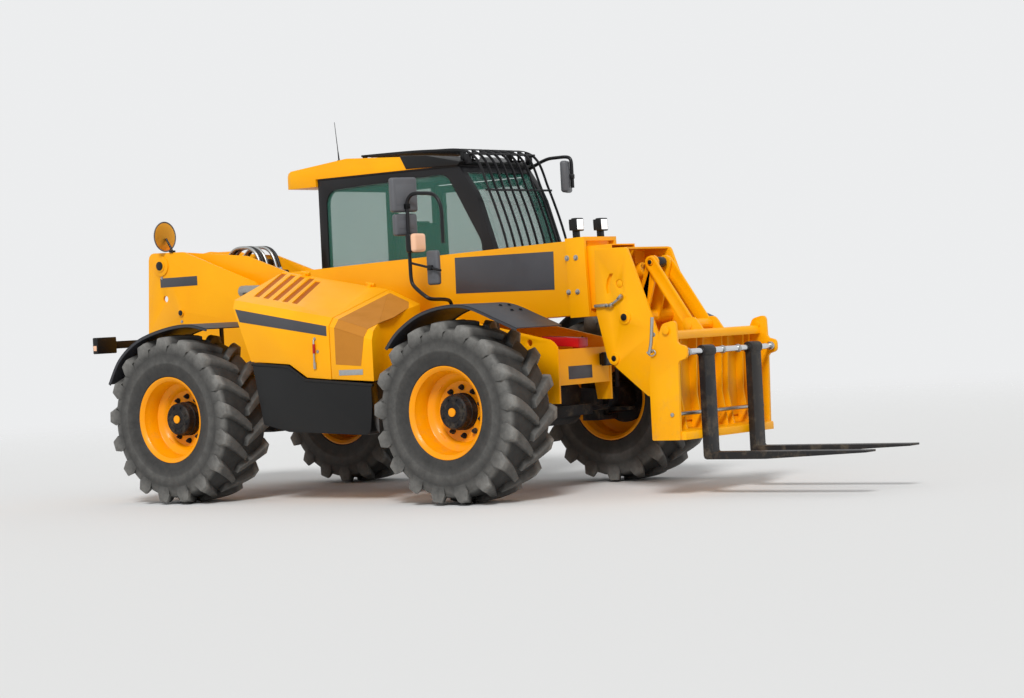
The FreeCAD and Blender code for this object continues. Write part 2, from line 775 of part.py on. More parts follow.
def make_carriage():
    inner = carriage_half - carriage_plate
    sides = both_sides(side_plate(carriage_side, inner, carriage_half))
    spine = block(carriage_spine_x, carriage_spine_x + 20, -inner, inner, 520, 1092)
    beam = side_plate([(2760, 1090, 0), (2890, 1090, 0), (2890, 1150, 30), (2790, 1150, 30)], -inner, inner)
    toe = fork_bar.x - fork_shank / 2 - seat_gap
    lip = side_plate(
        [(2740, 400, 0), (toe, 400, 0), (toe, 455, 10), (2790, 470, 0), (2760, 530, 0), (2740, 530, 0)],
        -inner, inner,
    )
    rib_side = [(2779, 440, 0), (2870, 440, 0), (2830, 700, 40), (2850, 1092, 0), (2779, 1092, 0)]
    ribs = [side_plate(rib_side, y - 8, y + 8) for y in (-480, -400, -200, -120, 120, 200, 400, 480)]
    lug_side = [(2560, 720, 50), (2560, 850, 50), (2765, 1000, 0), (2765, 560, 0)]
    link_side = [(2690, 1150, 40), (2700, 1235, 40), (2800, 1235, 40), (2870, 1140, 0), (2800, 1095, 0)]
    lugs = both_sides(side_plate(lug_side, tilt_lug_inner, tilt_lug_inner + tilt_lug_plate))
    lugs += both_sides(side_plate(link_side, link_lug_inner, link_lug_inner + link_lug_plate))
    lugs = [lug.cut(pin_y(tilt_pivot, 300, head_pin_radius + turn_fit)) for lug in lugs]
    foot_pin = pin_y(link_foot, link_lug_inner + 5, head_pin_radius)
    foot_ends = both_sides(drum_y(link_foot, link_lug_inner, link_lug_inner + link_lug_plate + 6, 34, 10))
    return fuse(sides + [spine, beam, lip] + ribs + lugs + [foot_pin] + foot_ends)


def make_fork_bar():
    return pin_y(fork_bar, carriage_half - carriage_plate, fork_bar_radius)


def make_fork(y):
    x0 = fork_bar.x - fork_shank / 2
    x1 = fork_bar.x + fork_shank / 2
    tip = x0 + fork_reach
    low = fork_top_z - fork_shank
    blade = [
        (x0, fork_bar.z - 60, 0), (x0, low, 25), (x0 + 500, low, 0), (
            tip, fork_top_z - fork_tip, 0,
        ), (tip, fork_top_z, 0),
        (x1, fork_top_z, 12), (x1, fork_bar.z - 60, 0),
    ]
    arm = side_plate(blade, y - fork_width / 2, y + fork_width / 2)
    neck = block(x0, x1, y - fork_width / 2, y + fork_width / 2, fork_bar.z - 61, fork_bar.z)
    eye = drum_y(fork_bar, y - fork_width / 2, y + fork_width / 2, 42)
    return fuse([arm, neck, eye]).cut(pin_y(fork_bar, 700, fork_bar_radius + turn_fit))


# Engine pod on the right

def pod_section(x, top_z, fall, inset):
    """Corners of the pod's cross-section at x, drawn in by inset from its outer skin."""
    drop = inset * 1.05
    crease_z = top_z - fall
    points = [
        (pod_inner_y, top_z - drop), (pod_crease_y + inset * 0.4, crease_z - drop),
        (
            pod_side_y + inset, crease_z - 60 - inset * 0.3,
        ), (pod_side_y + inset, 500.0), (pod_inner_y, 500.0),
    ]
    return [V(x, y, z) for y, z in points]


def pod_rear_form(inset):
    rear = pod_section(pod_rear_x, pod_rear_top, pod_fall, inset)
    return skinned([rear, pod_section(pod_seam_x, pod_seam_top, pod_fall, inset)])


def pod_front_form(inset):
    seam = pod_section(pod_seam_x, pod_seam_top, pod_fall, inset)
    return skinned([seam, pod_section(pod_nose_x, pod_nose_top, pod_nose_fall, inset)])


def ridge_z(x):
    return ridge_rear.z + (ridge_front.z - ridge_rear.z) * (x - ridge_rear.x) / (ridge_front.x - ridge_rear.x)


def hinge_span(x, near, far):
    """Two points on the bonnet's hinge line, near and far along the sloping ridge from x."""
    slope = (ridge_front - ridge_rear).normalize()
    mid = V(x, hinge_y, ridge_z(x) + hinge_rise)
    return mid + slope * near, mid + slope * far


def make_bonnet():
    lid = pod_rear_form(0.0).cut(pod_rear_form(pod_wall))
    rear = side_plate(
        [(-950, 2000, 0), (-924, 2000, 0), (-529, 990, 0), (-529, 400, 0), (-950, 400, 0)], -1300, -300,
    )
    low = side_plate(pod_low_cut, -1300, -300)
    ahead = block(pod_seam_x - 3, 900, -1300, -300, 300, 2000)
    inner_edge = block(-1000, 900, pod_inner_y - 6, 0, 300, 2000)
    lid = lid.cut(rear).cut(low).cut(ahead).cut(inner_edge)
    for x in hinge_places:
        leaf = block(x - 17, x + 17, hinge_y - 30, hinge_y - 4, ridge_z(x) - 24, ridge_z(x) + 10)
        lid = lid.fuse(drum(*hinge_span(x, -18, 18), 14, 8)).fuse(leaf)
        lid = lid.cut(bar(*hinge_span(x, -30, 30), hinge_pin_radius + turn_fit))
    return lid


def make_pod_body():
    """Fixed inner wall, floor and rear wall of the engine bay, carried on the chassis plate."""
    wall_side = [
        (-795, 1700, 0), (-780, 1200, 0), (-560, 614, 0), (530, 614, 0), (
            530, 1440, 0,
        ), (248, 1558, 0), (248, 1506, 0),
    ]
    wall = side_plate(wall_side, pod_inner_y, pod_inner_y + 12)
    floor = plan_plate(
        [(-520, -1000, 0), (500, -1000, 0), (520, -850, 0), (520, pod_inner_y, 0), (-520, pod_inner_y, 0)],
        614, 626,
    )
    slab = side_plate(
        [(-790, 1700, 0), (-775, 1700, 0), (-505, 1100, 0), (-505, 626, 0), (-520, 626, 0), (-520, 1100, 0)],
        -1095, pod_inner_y,
    )
    rear_wall = pod_rear_form(pod_wall + 14).common(slab).cut(block(-1000, 0, -1300, -1000, 500, 1085))
    feet = [
        block(x - 40, x + 40, pod_inner_y + 12, -frame_half, z - 30, z + 30)
        for x, z in ((-400, 700), (400, 700), (-400, 1130), (400, 1130))
    ]
    parts = [wall, floor, rear_wall] + feet
    for x in hinge_places:
        parts.append(bar(*hinge_span(x, -21, 21), hinge_pin_radius))
        for side in (-1, 1):
            near, far = hinge_span(x, side * 20, side * 40)
            centre = (near + far) * 0.5
            parts.append(drum(near, far, 14, 8))
            parts.append(block(
                centre.x - 9, centre.x + 9, hinge_y + 2, hinge_y + 14, centre.z - 90, centre.z,
            ))
    return fuse(parts).cut(exhaust_line(exhaust_radius + seat_gap, 0, 500))


def pod_front_cut(inset):
    corners = [(664, -1200), (655, -1130), (550, -900), (540, -800), (540, -300)]
    near = [(x - inset, y, 0) for x, y in corners]
    return plan_plate(near + [(900, -300, 0), (900, -1200, 0)], 300, 2000)


def make_grille_hood():
    """Fixed front of the pod with its sloping intake panel."""
    solid = pod_front_form(0.0).cut(pod_front_cut(0.0))
    hollow = pod_front_form(pod_wall).cut(pod_front_cut(pod_wall))
    hood = solid.cut(hollow).cut(side_plate(pod_low_cut, -1300, -300))
    return hood.cut(block(-1000, pod_seam_x + 3, -1300, -300, 300, 2000)).cut(
        block(0, 900, pod_inner_y - seat_gap, 0, 300, 2000)
    )


def make_side_panel():
    side = [
        (-545, 1067, 0), (-175, 1035, 0), (-8, 932, 0), (650, 878, 0), (
            600, 505, 60,
        ), (-200, 540, 0), (-455, 600, 0),
    ]
    panel = side_plate(side, pod_side_y - 10, -1000)
    corner = plan_plate(
        [
            (800, -1200, 0), (641, -1200, 0), (628, -1130, 0), (553, -950, 0), (553, -900, 0),
            (800, -900, 0),
        ], 400, 1200
    )
    return panel.cut(corner)


def make_engine():
    return block(-430, 380, -970, -440, 626, 1300)


def exhaust_line(radius, start, end):
    """A length of the exhaust's tail, between two distances ahead of its open end."""
    tail = V(-1200, -520, 1622)
    way = V(500, 0, -14).normalize()
    return drum(tail + way * start, tail + way * end, radius, 16)


def make_exhaust():
    return exhaust_line(exhaust_radius, 0, 500).cut(exhaust_line(exhaust_radius - 4, -10, 400))


def make_driveline():
    """Transfer box on a cross member, with a shaft to each axle."""
    box = block(-200, 200, -150, 150, 560, 760)
    shafts = [drum(V(side * 199, 0, axle_z), V(side * 1100, 0, axle_z), 40, 10) for side in (-1, 1)]
    return fuse([box] + shafts)


def make_tank():
    """Tank below the cab, with two steps let into it under the door."""
    body = plan_plate(
        [(-470, frame_half, 0), (470, frame_half, 0), (470, 1090, 60), (-470, 1090, 60)], 610, cab_floor_z
    )
    recess = block(-60, 330, 860, 1200, 650, cab_floor_z + 10)
    steps = [block(-60, 330, 855, 1090, z, z + 20) for z in (650, 810)]
    return fuse([body.cut(recess)] + steps)


# Cab

def cab_form(inset, y0, y1):
    wire = outline(cab_side, lambda x, z: V(x, y0, z))
    if inset > 0:
        wire = wire.makeOffset2D(-inset, 2)
    return Part.Face(wire).extrude(V(0, y1 - y0, 0))


def door_form(inset, y0, y1):
    wire = outline(door_opening, lambda x, z: V(x, y0, z))
    if inset > 0:
        wire = wire.makeOffset2D(-inset, 2)
    return Part.Face(wire).extrude(V(0, y1 - y0, 0))


def end_window(box, gap):
    x0, x1, z0, z1 = box
    return block(
        x0, x1, cab_right_y + cab_wall + 10 + gap, cab_left_y - cab_wall - 10 - gap, z0 + gap, z1 - gap,
    )


def make_cab_frame():
    outer = cab_form(0, cab_right_y, cab_left_y)
    room = cab_form(cab_wall, cab_right_y + cab_wall, cab_left_y - cab_wall)
    step = block(-700, 700, 0, frame_half, 900, 1200)
    inner_step = block(-700, 700, 0, frame_half + cab_wall, 900, 1200 + cab_wall)
    frame = outer.cut(step).cut(room.cut(inner_step))
    frame = frame.cut(side_plate(right_window, cab_right_y - 5, cab_right_y + cab_wall + 5))
    frame = frame.cut(side_plate(quarter_window, cab_left_y - cab_wall - 5, cab_left_y + 5))
    frame = frame.cut(door_form(0, cab_left_y - cab_wall - 5, cab_left_y + 5))
    frame = frame.cut(end_window(windscreen_box, 0)).cut(end_window(rear_window_box, 0))
    for z in door_hinge_heights:
        lug = block(door_rear_x - 30, door_rear_x, cab_left_y - 1, door_hinge_y, z - 20, z + 20)
        knuckle = drum(V(door_rear_x, door_hinge_y, z - 20), V(door_rear_x, door_hinge_y, z + 20), 12, 8)
        pin = bar(V(door_rear_x, door_hinge_y, z), V(door_rear_x, door_hinge_y, z + 60), 6)
        frame = frame.fuse(lug).fuse(knuckle).fuse(pin)
    return frame.removeSplitter()


def make_cab_roof():
    body = side_plate(roof_side, cab_right_y - 15, cab_left_y + 15)
    plan = plan_plate([(-1380, 215, 90), (500, 215, 60), (500, 1135, 60), (-1380, 1135, 90)], 2400, 2700)
    return body.common(plan)


def make_cab_glass():
    """Panes of the fixed windows, each let into its opening."""
    shell = cab_form(12, cab_right_y, cab_left_y).cut(cab_form(12 + glass_thick, cab_right_y, cab_left_y))
    panes = [
        shell.common(end_window(windscreen_box, seat_gap)),
        shell.common(end_window(rear_window_box, seat_gap)),
    ]
    for window, y in ((right_window, cab_right_y + 12), (quarter_window, cab_left_y - 12 - glass_thick)):
        wire = outline(window, lambda x, z: V(x, y, z)).makeOffset2D(-seat_gap, 2)
        panes.append(Part.Face(wire).extrude(V(0, glass_thick, 0)))
    return group([solid for pane in panes for solid in pane.Solids])


def make_door():
    gap = swing_gap
    front = cab_left_y - cab_wall + swing_gap
    frame = door_form(gap, front, cab_left_y)
    window = door_form(gap + door_frame_width, front - 5, cab_left_y + 5)
    rail = block(-600, 700, front - 5, cab_left_y + 5, door_rail_z, door_rail_z + 60)
    frame = frame.cut(window.cut(rail))
    for z in door_hinge_heights:
        lug = block(door_rear_x + 3, door_rear_x + 60, cab_left_y - 1, door_hinge_y, z + 22, z + 58)
        knuckle = drum(V(door_rear_x, door_hinge_y, z + 22), V(door_rear_x, door_hinge_y, z + 58), 12, 8)
        bore = bar(V(door_rear_x, door_hinge_y, z + 10), V(door_rear_x, door_hinge_y, z + 70), 6 + turn_fit)
        frame = frame.fuse(lug).fuse(knuckle).cut(bore)
    return frame


def make_door_glass():
    y = cab_left_y - 24
    pane = door_form(swing_gap + door_frame_width + seat_gap, y, y + glass_thick)
    rail = block(-600, 700, y - 5, y + 20, door_rail_z - seat_gap, door_rail_z + 60 + seat_gap)
    return group(pane.cut(rail).Solids)


def seat_back_x(height):
    """Front face of the seat's back shell at a height above the pedestal."""
    return -368 - height * 0.04


def make_cab_interior():
    """Seat pedestal, dashboard, column and steering wheel."""
    floor = cab_floor_z + cab_wall
    pedestal = block(-290, 62, seat_y - 170, seat_y + 170, floor, seat_z)
    shell = side_plate(
        [
            (seat_back_x(760) - 22, seat_z + 760, 0), (
                seat_back_x(0) - 22, seat_z - 30, 0,
            ), (-289, seat_z - 30, 0),
            (-289, seat_z, 0), (seat_back_x(0), seat_z, 0), (seat_back_x(760), seat_z + 760, 0),
        ],
        seat_y - 200, seat_y + 200,
    )
    dash = side_plate(
        [(440, floor, 0), (490, floor, 0), (490, 1290, 0), (560, 1360, 0), (560, 1600, 0), (400, 1660, 0)],
        450, 900,
    )
    column = drum(V(430, seat_y, 1560), V(262, seat_y, 1700), 26, 8)
    wheel = turned([(-13, 178), (0, 190), (13, 178)], 16).cut(turned([(-14, 162), (14, 162)], 16))
    spokes = [block(-168, 168, -8, 8, -14, 14), block(-14, 14, -8, 8, -168, 168)]
    wheel = fuse([wheel] + spokes)
    wheel.Placement = FreeCAD.Placement(V(258, seat_y, 1703), FreeCAD.Rotation(V(0, 1, 0), V(-168, 0, 140)))
    return group(fuse([pedestal, shell]).Solids + fuse([dash, column, wheel]).Solids)


def make_seat_cushion():
    base = side_plate(
        [(-365, seat_z, 0), (82, seat_z, 0), (102, seat_z + 60, 30), (72, seat_z + 110, 40), (-360, seat_z + 90, 0)],
        seat_y - 240, seat_y + 240,
    )
    back = side_plate(
        [
            (seat_back_x(118) + seat_gap, seat_z + 118, 0), (-280, seat_z + 122, 30),
            (-300, seat_z + 700, 40), (-370, seat_z + 760, 30),
            (seat_back_x(760) + seat_gap, seat_z + 760, 0),
        ],
        seat_y - 235, seat_y + 235,
    )
    return group([base, back])


def guard_bar_y(i):
    """Where bar i of the guard stands across the cab."""
    return cab_right_y + 60 + i * (cab_left_y - cab_right_y - 120) / (guard_bars - 1)


def make_roof_guard():
    """Guard of flat bars over the roof and in front of the windscreen."""
    bars = [ribbon(guard_side, 20, guard_bar_y(i) - 4, guard_bar_y(i) + 4) for i in range(guard_bars)]
    ties = []
    for x, z in ((-550, roof_low_z + 150), (540, roof_low_z + 80), (690, roof_low_z - 210), (836, 1828)):
        ties.append(block(x - 12, x + 12, cab_right_y + 30, cab_left_y - 30, z - 8, z + 8))
    feet = []
    for y in (cab_right_y + 60, cab_left_y - 60):
        feet.append(block(-560, -530, y - 15, y + 15, roof_low_z + 106, roof_low_z + 155))
        feet.append(block(480, 530, y - 15, y + 15, roof_low_z - 20, roof_low_z + 85))
        feet.append(block(752, 850, y - 15, y + 15, 1535, 1565))
    return fuse(bars + ties + feet).cut(cab_form(0, cab_right_y, cab_left_y)).cut(make_cab_roof())


def lamp(x, y, z, size, depth):
    """A square lamp facing forward with its rear shell narrowed."""
    half = size / 2
    rings = []
    for at, reach in ((x - depth, half * 0.6), (x, half), (x + 8, half)):
        rings.append([V(at, y + a * reach, z + b * reach) for a, b in ((-1, -1), (1, -1), (1, 1), (-1, 1))])
    return skinned(rings)


def make_lamps():
    """Roof lamps, the bumper's headlamp and the rear lamp arms."""
    solids = []
    roof = make_cab_roof()
    for i in (0.5, 1.5, guard_bars - 2.5, guard_bars - 1.5):
        y = guard_bar_y(i)
        bracket = block(430, 450, y - 20, y + 20, roof_low_z + 10, roof_low_z + 80)
        solids.append(lamp(470, y, roof_low_z + 77, 84, 60).fuse(bracket).cut(roof))
    solids.append(lamp(bumper_x + 62, 220, 960, 100, 62).fuse(block(
        bumper_x, bumper_x + 30, 200, 240, 930, 990,
    )))
    for side in (-1, 1):
        y0, y1 = sorted((side * frame_half, side * 1150))
        arm = block(-2230, -2200, y0, y1, 1225, 1285)
        c0, c1 = sorted((side * 950, side * 1160))
        case = block(-2250, -2195, c0, c1, 1190, 1320)
        solids.append(fuse([arm, case]))
    return group(solids)


def mirror_head(at, width, height, thick, stand_off, facing):
    """A mirror housing set off a tube at its back, its glass facing the given way in plan."""
    head = plan_plate(
        [
            (-width / 2, stand_off, 20), (width / 2, stand_off, 20), (width / 2, stand_off + thick, 0),
            (-width / 2, stand_off + thick, 0),
        ],
        -height / 2, height / 2,
    )
    head.rotate(V(0, 0, 0), V(0, 0, 1), facing - 90)
    head.translate(at)
    return head


def mirror_places():
    """Where each head is clamped, and the way that it stands off its tube, in degrees."""
    return [
        (V(mast_x, mast_y, 2150), 160),
        (V(1012, mast_y, 1692), 90),
        (V(mast_x, mast_y, 1880), 0),
        (V(left_arm_x, cab_left_y + left_arm_out, 2390), 205),
    ]


def mirror_clamp(at, facing):
    """A square clamp on a tube, turned to the mirror head behind it."""
    r = clamp_half
    clamp = block(-r, r, -r, r, -r, r)
    clamp.rotate(V(0, 0, 0), V(0, 0, 1), facing)
    clamp.translate(at)
    return clamp


def make_mirror_arms():
    """Tubes that carry the mirrors on the right, on the left and behind, with the heads' clamps on them."""
    y = mast_y
    mast = bent_tube(
        [
            V(900, -frame_half, 1240), V(900, -430, 1240), V(
                900, -480, 1300,
            ), V(905, -495, 1440), V(930, -580, 1462),
            V(985, y + 40, 1464), V(970, y, 1475), V(
                mast_x + 20, y, 1565,
            ), V(mast_x, y, 1615), V(mast_x, y, 2175),
            V(mast_x + 20, y, 2215), V(890, y, 2240), V(
                1060, y, 2226,
            ), V(1110, y, 2200), V(1148, y, 2120), V(1144, y, 1862),
        ],
        mast_radius,
    )
    strut = drum(V(mast_x + mast_radius - 2, y, 1735), V(1110, y, 1668), strut_radius, 8)
    out = cab_left_y + left_arm_out
    left = bent_tube(
        [
            V(400, cab_left_y, roof_low_z - 30), V(400, out - 10, roof_low_z - 30), V(410, out, roof_low_z - 26),
            V(600, out, roof_low_z + 48), V(left_arm_x - 30, out, roof_low_z + 50),
            V(left_arm_x, out, roof_low_z + 20), V(left_arm_x, out, 2300),
        ],
        mast_radius,
    )
    clamps = [mirror_clamp(place, facing) for place, facing in mirror_places()]
    foot = block(-2170, -2130, -345, -305, 1984, 2000)
    stalk = drum(V(-2150, -325, 1998), V(-2207.3, -330, 2100), 10, 8)
    return group([fuse([mast, strut] + clamps[:3]), fuse([left, clamps[3]]), foot.fuse(stalk)])


def make_mirrors():
    (tall_at, tall_facing), (low_at, low_facing), (beacon_at, _), (left_at, left_facing) = mirror_places()
    stand_off = clamp_half + seat_gap
    tall = mirror_head(tall_at, 215, 425, 60, stand_off, tall_facing)
    low = mirror_head(low_at, 110, 250, 46, stand_off, low_facing)
    beacon = lamp(beacon_at.x + stand_off + 86, beacon_at.y, beacon_at.z, 140, 86)
    left = mirror_head(left_at, 180, 250, 60, stand_off, left_facing)
    rear = drum(V(-2252, -330, 2116), V(-2216, -330, 2116), 125, 20)
    return group([tall, low, beacon, left, rear])


def make_antenna():
    foot = V(-832, 300, roof_low_z + 127.6)
    base = drum(foot, foot + V(0, 0, 14.4), 16, 8)
    return base.fuse(drum(foot + V(0, 0, 13.4), foot + V(-28, 0, 322.4), 4, 6))


def make_boom_lamps():
    """Two work lamps on the collar."""
    solids = []
    top = boom_top_z + collar_lip
    for y in (-150, 150):
        post = block(boom_front_x + 50, boom_front_x + 90, y - 20, y + 20, top, top + 60)
        solids.append(raised(fuse([post, lamp(boom_front_x + 105, y, top + 95, 95, 75)])))
    return group(solids)


def make_boom_pipes():
    """Arcs of steel pipe over the boom's root, held on cross bars between its ears."""
    low = V(-1780, 0, 1850)
    high = V(-1340, 0, 1745)
    solids = []
    for y in pipe_rows:
        path = [
            V(low.x + 20, y, low.z), V(
                -1700, y, 1930,
            ), V(-1650, y, 1972), V(-1590, y, 1985), V(-1490, y, 1982),
            V(-1430, y, 1955), V(-1375, y, 1890), V(high.x - 5, y, high.z + 14),
        ]
        solids.append(bent_tube(path, pipe_radius, 6))
    bars = [raised(drum_y(at, -ear_inner, ear_inner, 20, 8)) for at in (low, high)]
    reel = raised(drum_y(V(-1520, 0, 1830), -ear_inner, ear_inner, 45, 14))
    return fuse(solids + bars + [reel])


# All pieces by name, then shifted so that the origin lies under the middle

def wheel_places():
    return [("fl", front_x, 1), ("fr", front_x, -1), ("rl", rear_x, 1), ("rr", rear_x, -1)]


def placed(shape, x, side):
    copy = moved(shape, x, wheel_y, axle_z)
    return copy if side > 0 else mirrored(copy)


def make_pieces():
    pieces = {
        "chassis": make_chassis(),
        "boom_prop": make_prop(),
        "counterweight": make_counterweight(),
        "front_axle": make_axle(front_x, 1),
        "rear_axle": make_axle(rear_x, -1),
        "driveline": make_driveline(),
        "engine_block": make_engine(),
        "pod_body": make_pod_body(),
        "grille_hood": make_grille_hood(),
        "side_panel": make_side_panel(),
        "exhaust": make_exhaust(),
        "fuel_tank": make_tank(),
        "cab_frame": make_cab_frame(),
        "cab_roof": make_cab_roof(),
        "cab_glass": make_cab_glass(),
        "cab_interior": make_cab_interior(),
        "seat_cushion": make_seat_cushion(),
        "roof_guard": make_roof_guard(),
        "antenna": make_antenna(),
        "lamps": make_lamps(),
        "mirror_arms": make_mirror_arms(),
        "mirrors": make_mirrors(),
        "cab_door": make_door(),
        "door_glass": make_door_glass(),
        "bonnet": make_bonnet(),
        "boom_outer": make_boom_outer(),
        "boom_lamps": make_boom_lamps(),
        "boom_pipes": make_boom_pipes(),
        "boom_inner": make_boom_inner(),
        "boom_head": make_head(),
        "tilt_lever": make_lever(),
        "tilt_link": make_link(),
        "carriage": make_carriage(),
        "fork_bar": make_fork_bar(),
        "fork_right": make_fork(-fork_spacing / 2),
        "fork_left": make_fork(fork_spacing / 2),
    }
    pieces["lift_barrel"], pieces["lift_rod"] = make_lift()
    pieces["tilt_barrel"], pieces["tilt_rod"] = make_tilt()
    tyre = make_tyre()
    rim = make_rim()
    hub = make_hub()
    for name, x, side in wheel_places():
        front = x > 0
        pieces["tyre_" + name] = placed(tyre, x, side)
        pieces["rim_" + name] = placed(rim, x, side)
        pieces["hub_" + name] = placed(hub, x, side)
        pieces["knuckle_" + name] = placed(make_knuckle(1 if front else -1), x, side)
        fender = make_fender(front)
        pieces["fender_" + name] = fender if side > 0 else mirrored(fender)
    return pieces


def origin_shift(pieces):
    """From the working origin to the middle of the outline at its lowest point."""
    box = FreeCAD.BoundBox()
    for shape in pieces.values():
        box.add(shape.BoundBox)
    return V(-(box.XMin + box.XMax) / 2, -(box.YMin + box.YMax) / 2, -box.ZMin)


pieces = make_pieces()
shift = origin_shift(pieces)
os.makedirs("parts", exist_ok=True)
for name, shape in pieces.items():
    shape.translate(shift)
    shape.exportStep("parts/" + name + ".step")
print(len(pieces), "pieces, moved by", round(shift.x, 3), round(shift.y, 3), round(shift.z, 3))
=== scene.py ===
import json
import math

import bmesh
import bpy
from mathutils import Matrix, Vector

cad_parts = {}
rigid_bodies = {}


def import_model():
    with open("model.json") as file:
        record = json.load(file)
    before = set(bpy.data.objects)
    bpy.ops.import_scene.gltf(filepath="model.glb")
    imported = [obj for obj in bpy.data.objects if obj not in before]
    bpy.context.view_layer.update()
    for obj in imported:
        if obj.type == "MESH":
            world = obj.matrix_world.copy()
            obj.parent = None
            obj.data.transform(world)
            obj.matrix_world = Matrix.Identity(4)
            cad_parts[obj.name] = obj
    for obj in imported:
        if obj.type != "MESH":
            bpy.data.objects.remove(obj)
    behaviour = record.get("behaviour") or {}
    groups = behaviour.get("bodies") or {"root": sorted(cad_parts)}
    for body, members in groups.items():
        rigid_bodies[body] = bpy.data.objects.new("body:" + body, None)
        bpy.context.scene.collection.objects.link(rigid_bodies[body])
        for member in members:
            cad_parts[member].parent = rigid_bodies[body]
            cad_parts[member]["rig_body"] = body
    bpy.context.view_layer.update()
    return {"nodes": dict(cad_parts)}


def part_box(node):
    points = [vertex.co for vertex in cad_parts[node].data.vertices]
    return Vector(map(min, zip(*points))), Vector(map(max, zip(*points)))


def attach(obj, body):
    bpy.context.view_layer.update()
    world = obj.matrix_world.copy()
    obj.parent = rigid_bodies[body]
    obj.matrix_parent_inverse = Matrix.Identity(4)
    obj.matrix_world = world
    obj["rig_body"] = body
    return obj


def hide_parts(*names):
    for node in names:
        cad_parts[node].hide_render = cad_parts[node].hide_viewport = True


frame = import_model()
nodes = frame["nodes"]
corners = ["fl", "fr", "rl", "rr"]

# Sizes are in metres. Places are given from mid-wheelbase at ground level, x forward and y to the machine's left.
machine = {
    "frontAxle": 1.375, "rearAxle": -1.375, "wheelY": 0.99, "axleZ": 0.655,
    "boomRise": 1.6, "boomPivot": (-2.28, 0, 1.88),
}
rimLow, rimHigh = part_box("rim_fr")
datum = (rimLow + rimHigh) / 2 - Vector((machine["frontAxle"], -machine["wheelY"], machine["axleZ"]))


def spot(x, y, z):
    return Vector((x, y, z)) + datum


def link(thing):
    bpy.context.scene.collection.objects.link(thing)


# Camera at the photograph's place
view = {"place": (12.437, -14.623, 1.288), "yaw": 37.888, "pitch": -0.686, "roll": -3.1, "lens": 86.99, "sensor": 36}
yaw, pitch, roll = (math.radians(view[k]) for k in ("yaw", "pitch", "roll"))
ahead = Vector((-math.sin(yaw) * math.cos(pitch), math.cos(yaw) * math.cos(pitch), math.sin(pitch)))
level = ahead.cross(Vector((0, 0, 1))).normalized()
upright = level.cross(ahead)
right = math.cos(roll) * level + math.sin(roll) * upright
up = -math.sin(roll) * level + math.cos(roll) * upright
cameraData = bpy.data.cameras.new("camera")
cameraData.lens = view["lens"]
cameraData.sensor_width = view["sensor"]
cameraData.clip_end = 200
camera = bpy.data.objects.new("camera", cameraData)
link(camera)
camera.matrix_world = Matrix.Translation(spot(*view["place"])) @ Matrix((right, up, -ahead)).transposed().to_4x4()
bpy.context.scene.camera = camera
bpy.context.scene.view_settings.view_transform = "Standard"
print("camera placed")


# Material helpers

def colour(code):
    parts = [int(code[i:i + 2], 16) / 255 for i in (1, 3, 5)]
    return [c / 12.92 if c <= 0.04045 else ((c + 0.055) / 1.055) ** 2.4 for c in parts] + [1.0]


def addNode(tree, kind, sockets=None, **settings):
    node = tree.nodes.new("ShaderNode" + kind)
    for name, value in settings.items():
        setattr(node, name, value)
    for key, value in (sockets or {}).items():
        if isinstance(value, bpy.types.NodeSocket):
            tree.links.new(value, node.inputs[key])
        else:
            node.inputs[key].default_value = value
    return node


def newMaterial(name, **sockets):
    mat = bpy.data.materials.new(name)
    mat.use_nodes = True
    tree = mat.node_tree
    tree.nodes.clear()
    shader = addNode(tree, "BsdfPrincipled")
    for key, value in sockets.items():
        shader.inputs[key.replace("_", " ")].default_value = value
    out = addNode(tree, "OutputMaterial")
    tree.links.new(shader.outputs[0], out.inputs[0])
    return mat, tree, shader


def objectPlace(tree):
    return addNode(tree, "TexCoord").outputs["Object"]


def noise(tree, scale, detail, rough=0.5):
    sockets = {"Vector": objectPlace(tree), "Scale": scale, "Detail": detail, "Roughness": rough}
    return addNode(tree, "TexNoise", sockets).outputs["Fac"]


def ranged(tree, value, fromLow, fromHigh, toLow, toHigh):
    return addNode(tree, "MapRange", {0: value, 1: fromLow, 2: fromHigh, 3: toLow, 4: toHigh}).outputs[0]


def blend(tree, amount, first, second):
    return addNode(tree, "Mix", {0: amount, 6: first, 7: second}, data_type="RGBA").outputs[2]


def bumped(tree, height, strength, distance):
    return addNode(tree, "Bump", {"Height": height, "Strength": strength, "Distance": distance}).outputs[0]


def connect(tree, shader, **sockets):
    for key, value in sockets.items():
        tree.links.new(value, shader.inputs[key.replace("_", " ")])


def painted(name, look):
    # Sprayed enamel: even colour with a faint orange peel, road dust settling low down
    mat, tree, shader = newMaterial(
        name, Metallic=0.0, Specular_IOR_Level=0.22, Coat_Weight=look["coat"], Coat_Roughness=0.12,
    )
    spread = ranged(tree, noise(tree, 1.7, 4.0, 0.6), 0.35, 0.65, 0.0, 1.0)
    base = blend(tree, spread, colour(look["colour"]), colour(look["shade"]))
    height = addNode(tree, "SeparateXYZ", {0: objectPlace(tree)}).outputs[2]
    low = ranged(tree, height, look["dustTop"], 0.2, 0.0, 1.0)
    specks = noise(tree, 9.0, 8.0, 0.7)
    patch = ranged(tree, specks, 0.5, 0.75, 0.0, look["dust"])
    dirt = addNode(tree, "Math", {0: low, 1: patch}, operation="MULTIPLY").outputs[0]
    # Peel is taken as about 2 mm across, not measured, and drawn at 12 mm so that it shows
    connect(
        tree, shader, Base_Color=blend(tree, dirt, base, colour("#8a7a62")),
        Roughness=ranged(tree, specks, 0.3, 0.8, look["rough"], look["rough"] + 0.12),
        Normal=bumped(tree, noise(tree, 80.0, 1.0), 0.04, 0.002),
    )
    return mat


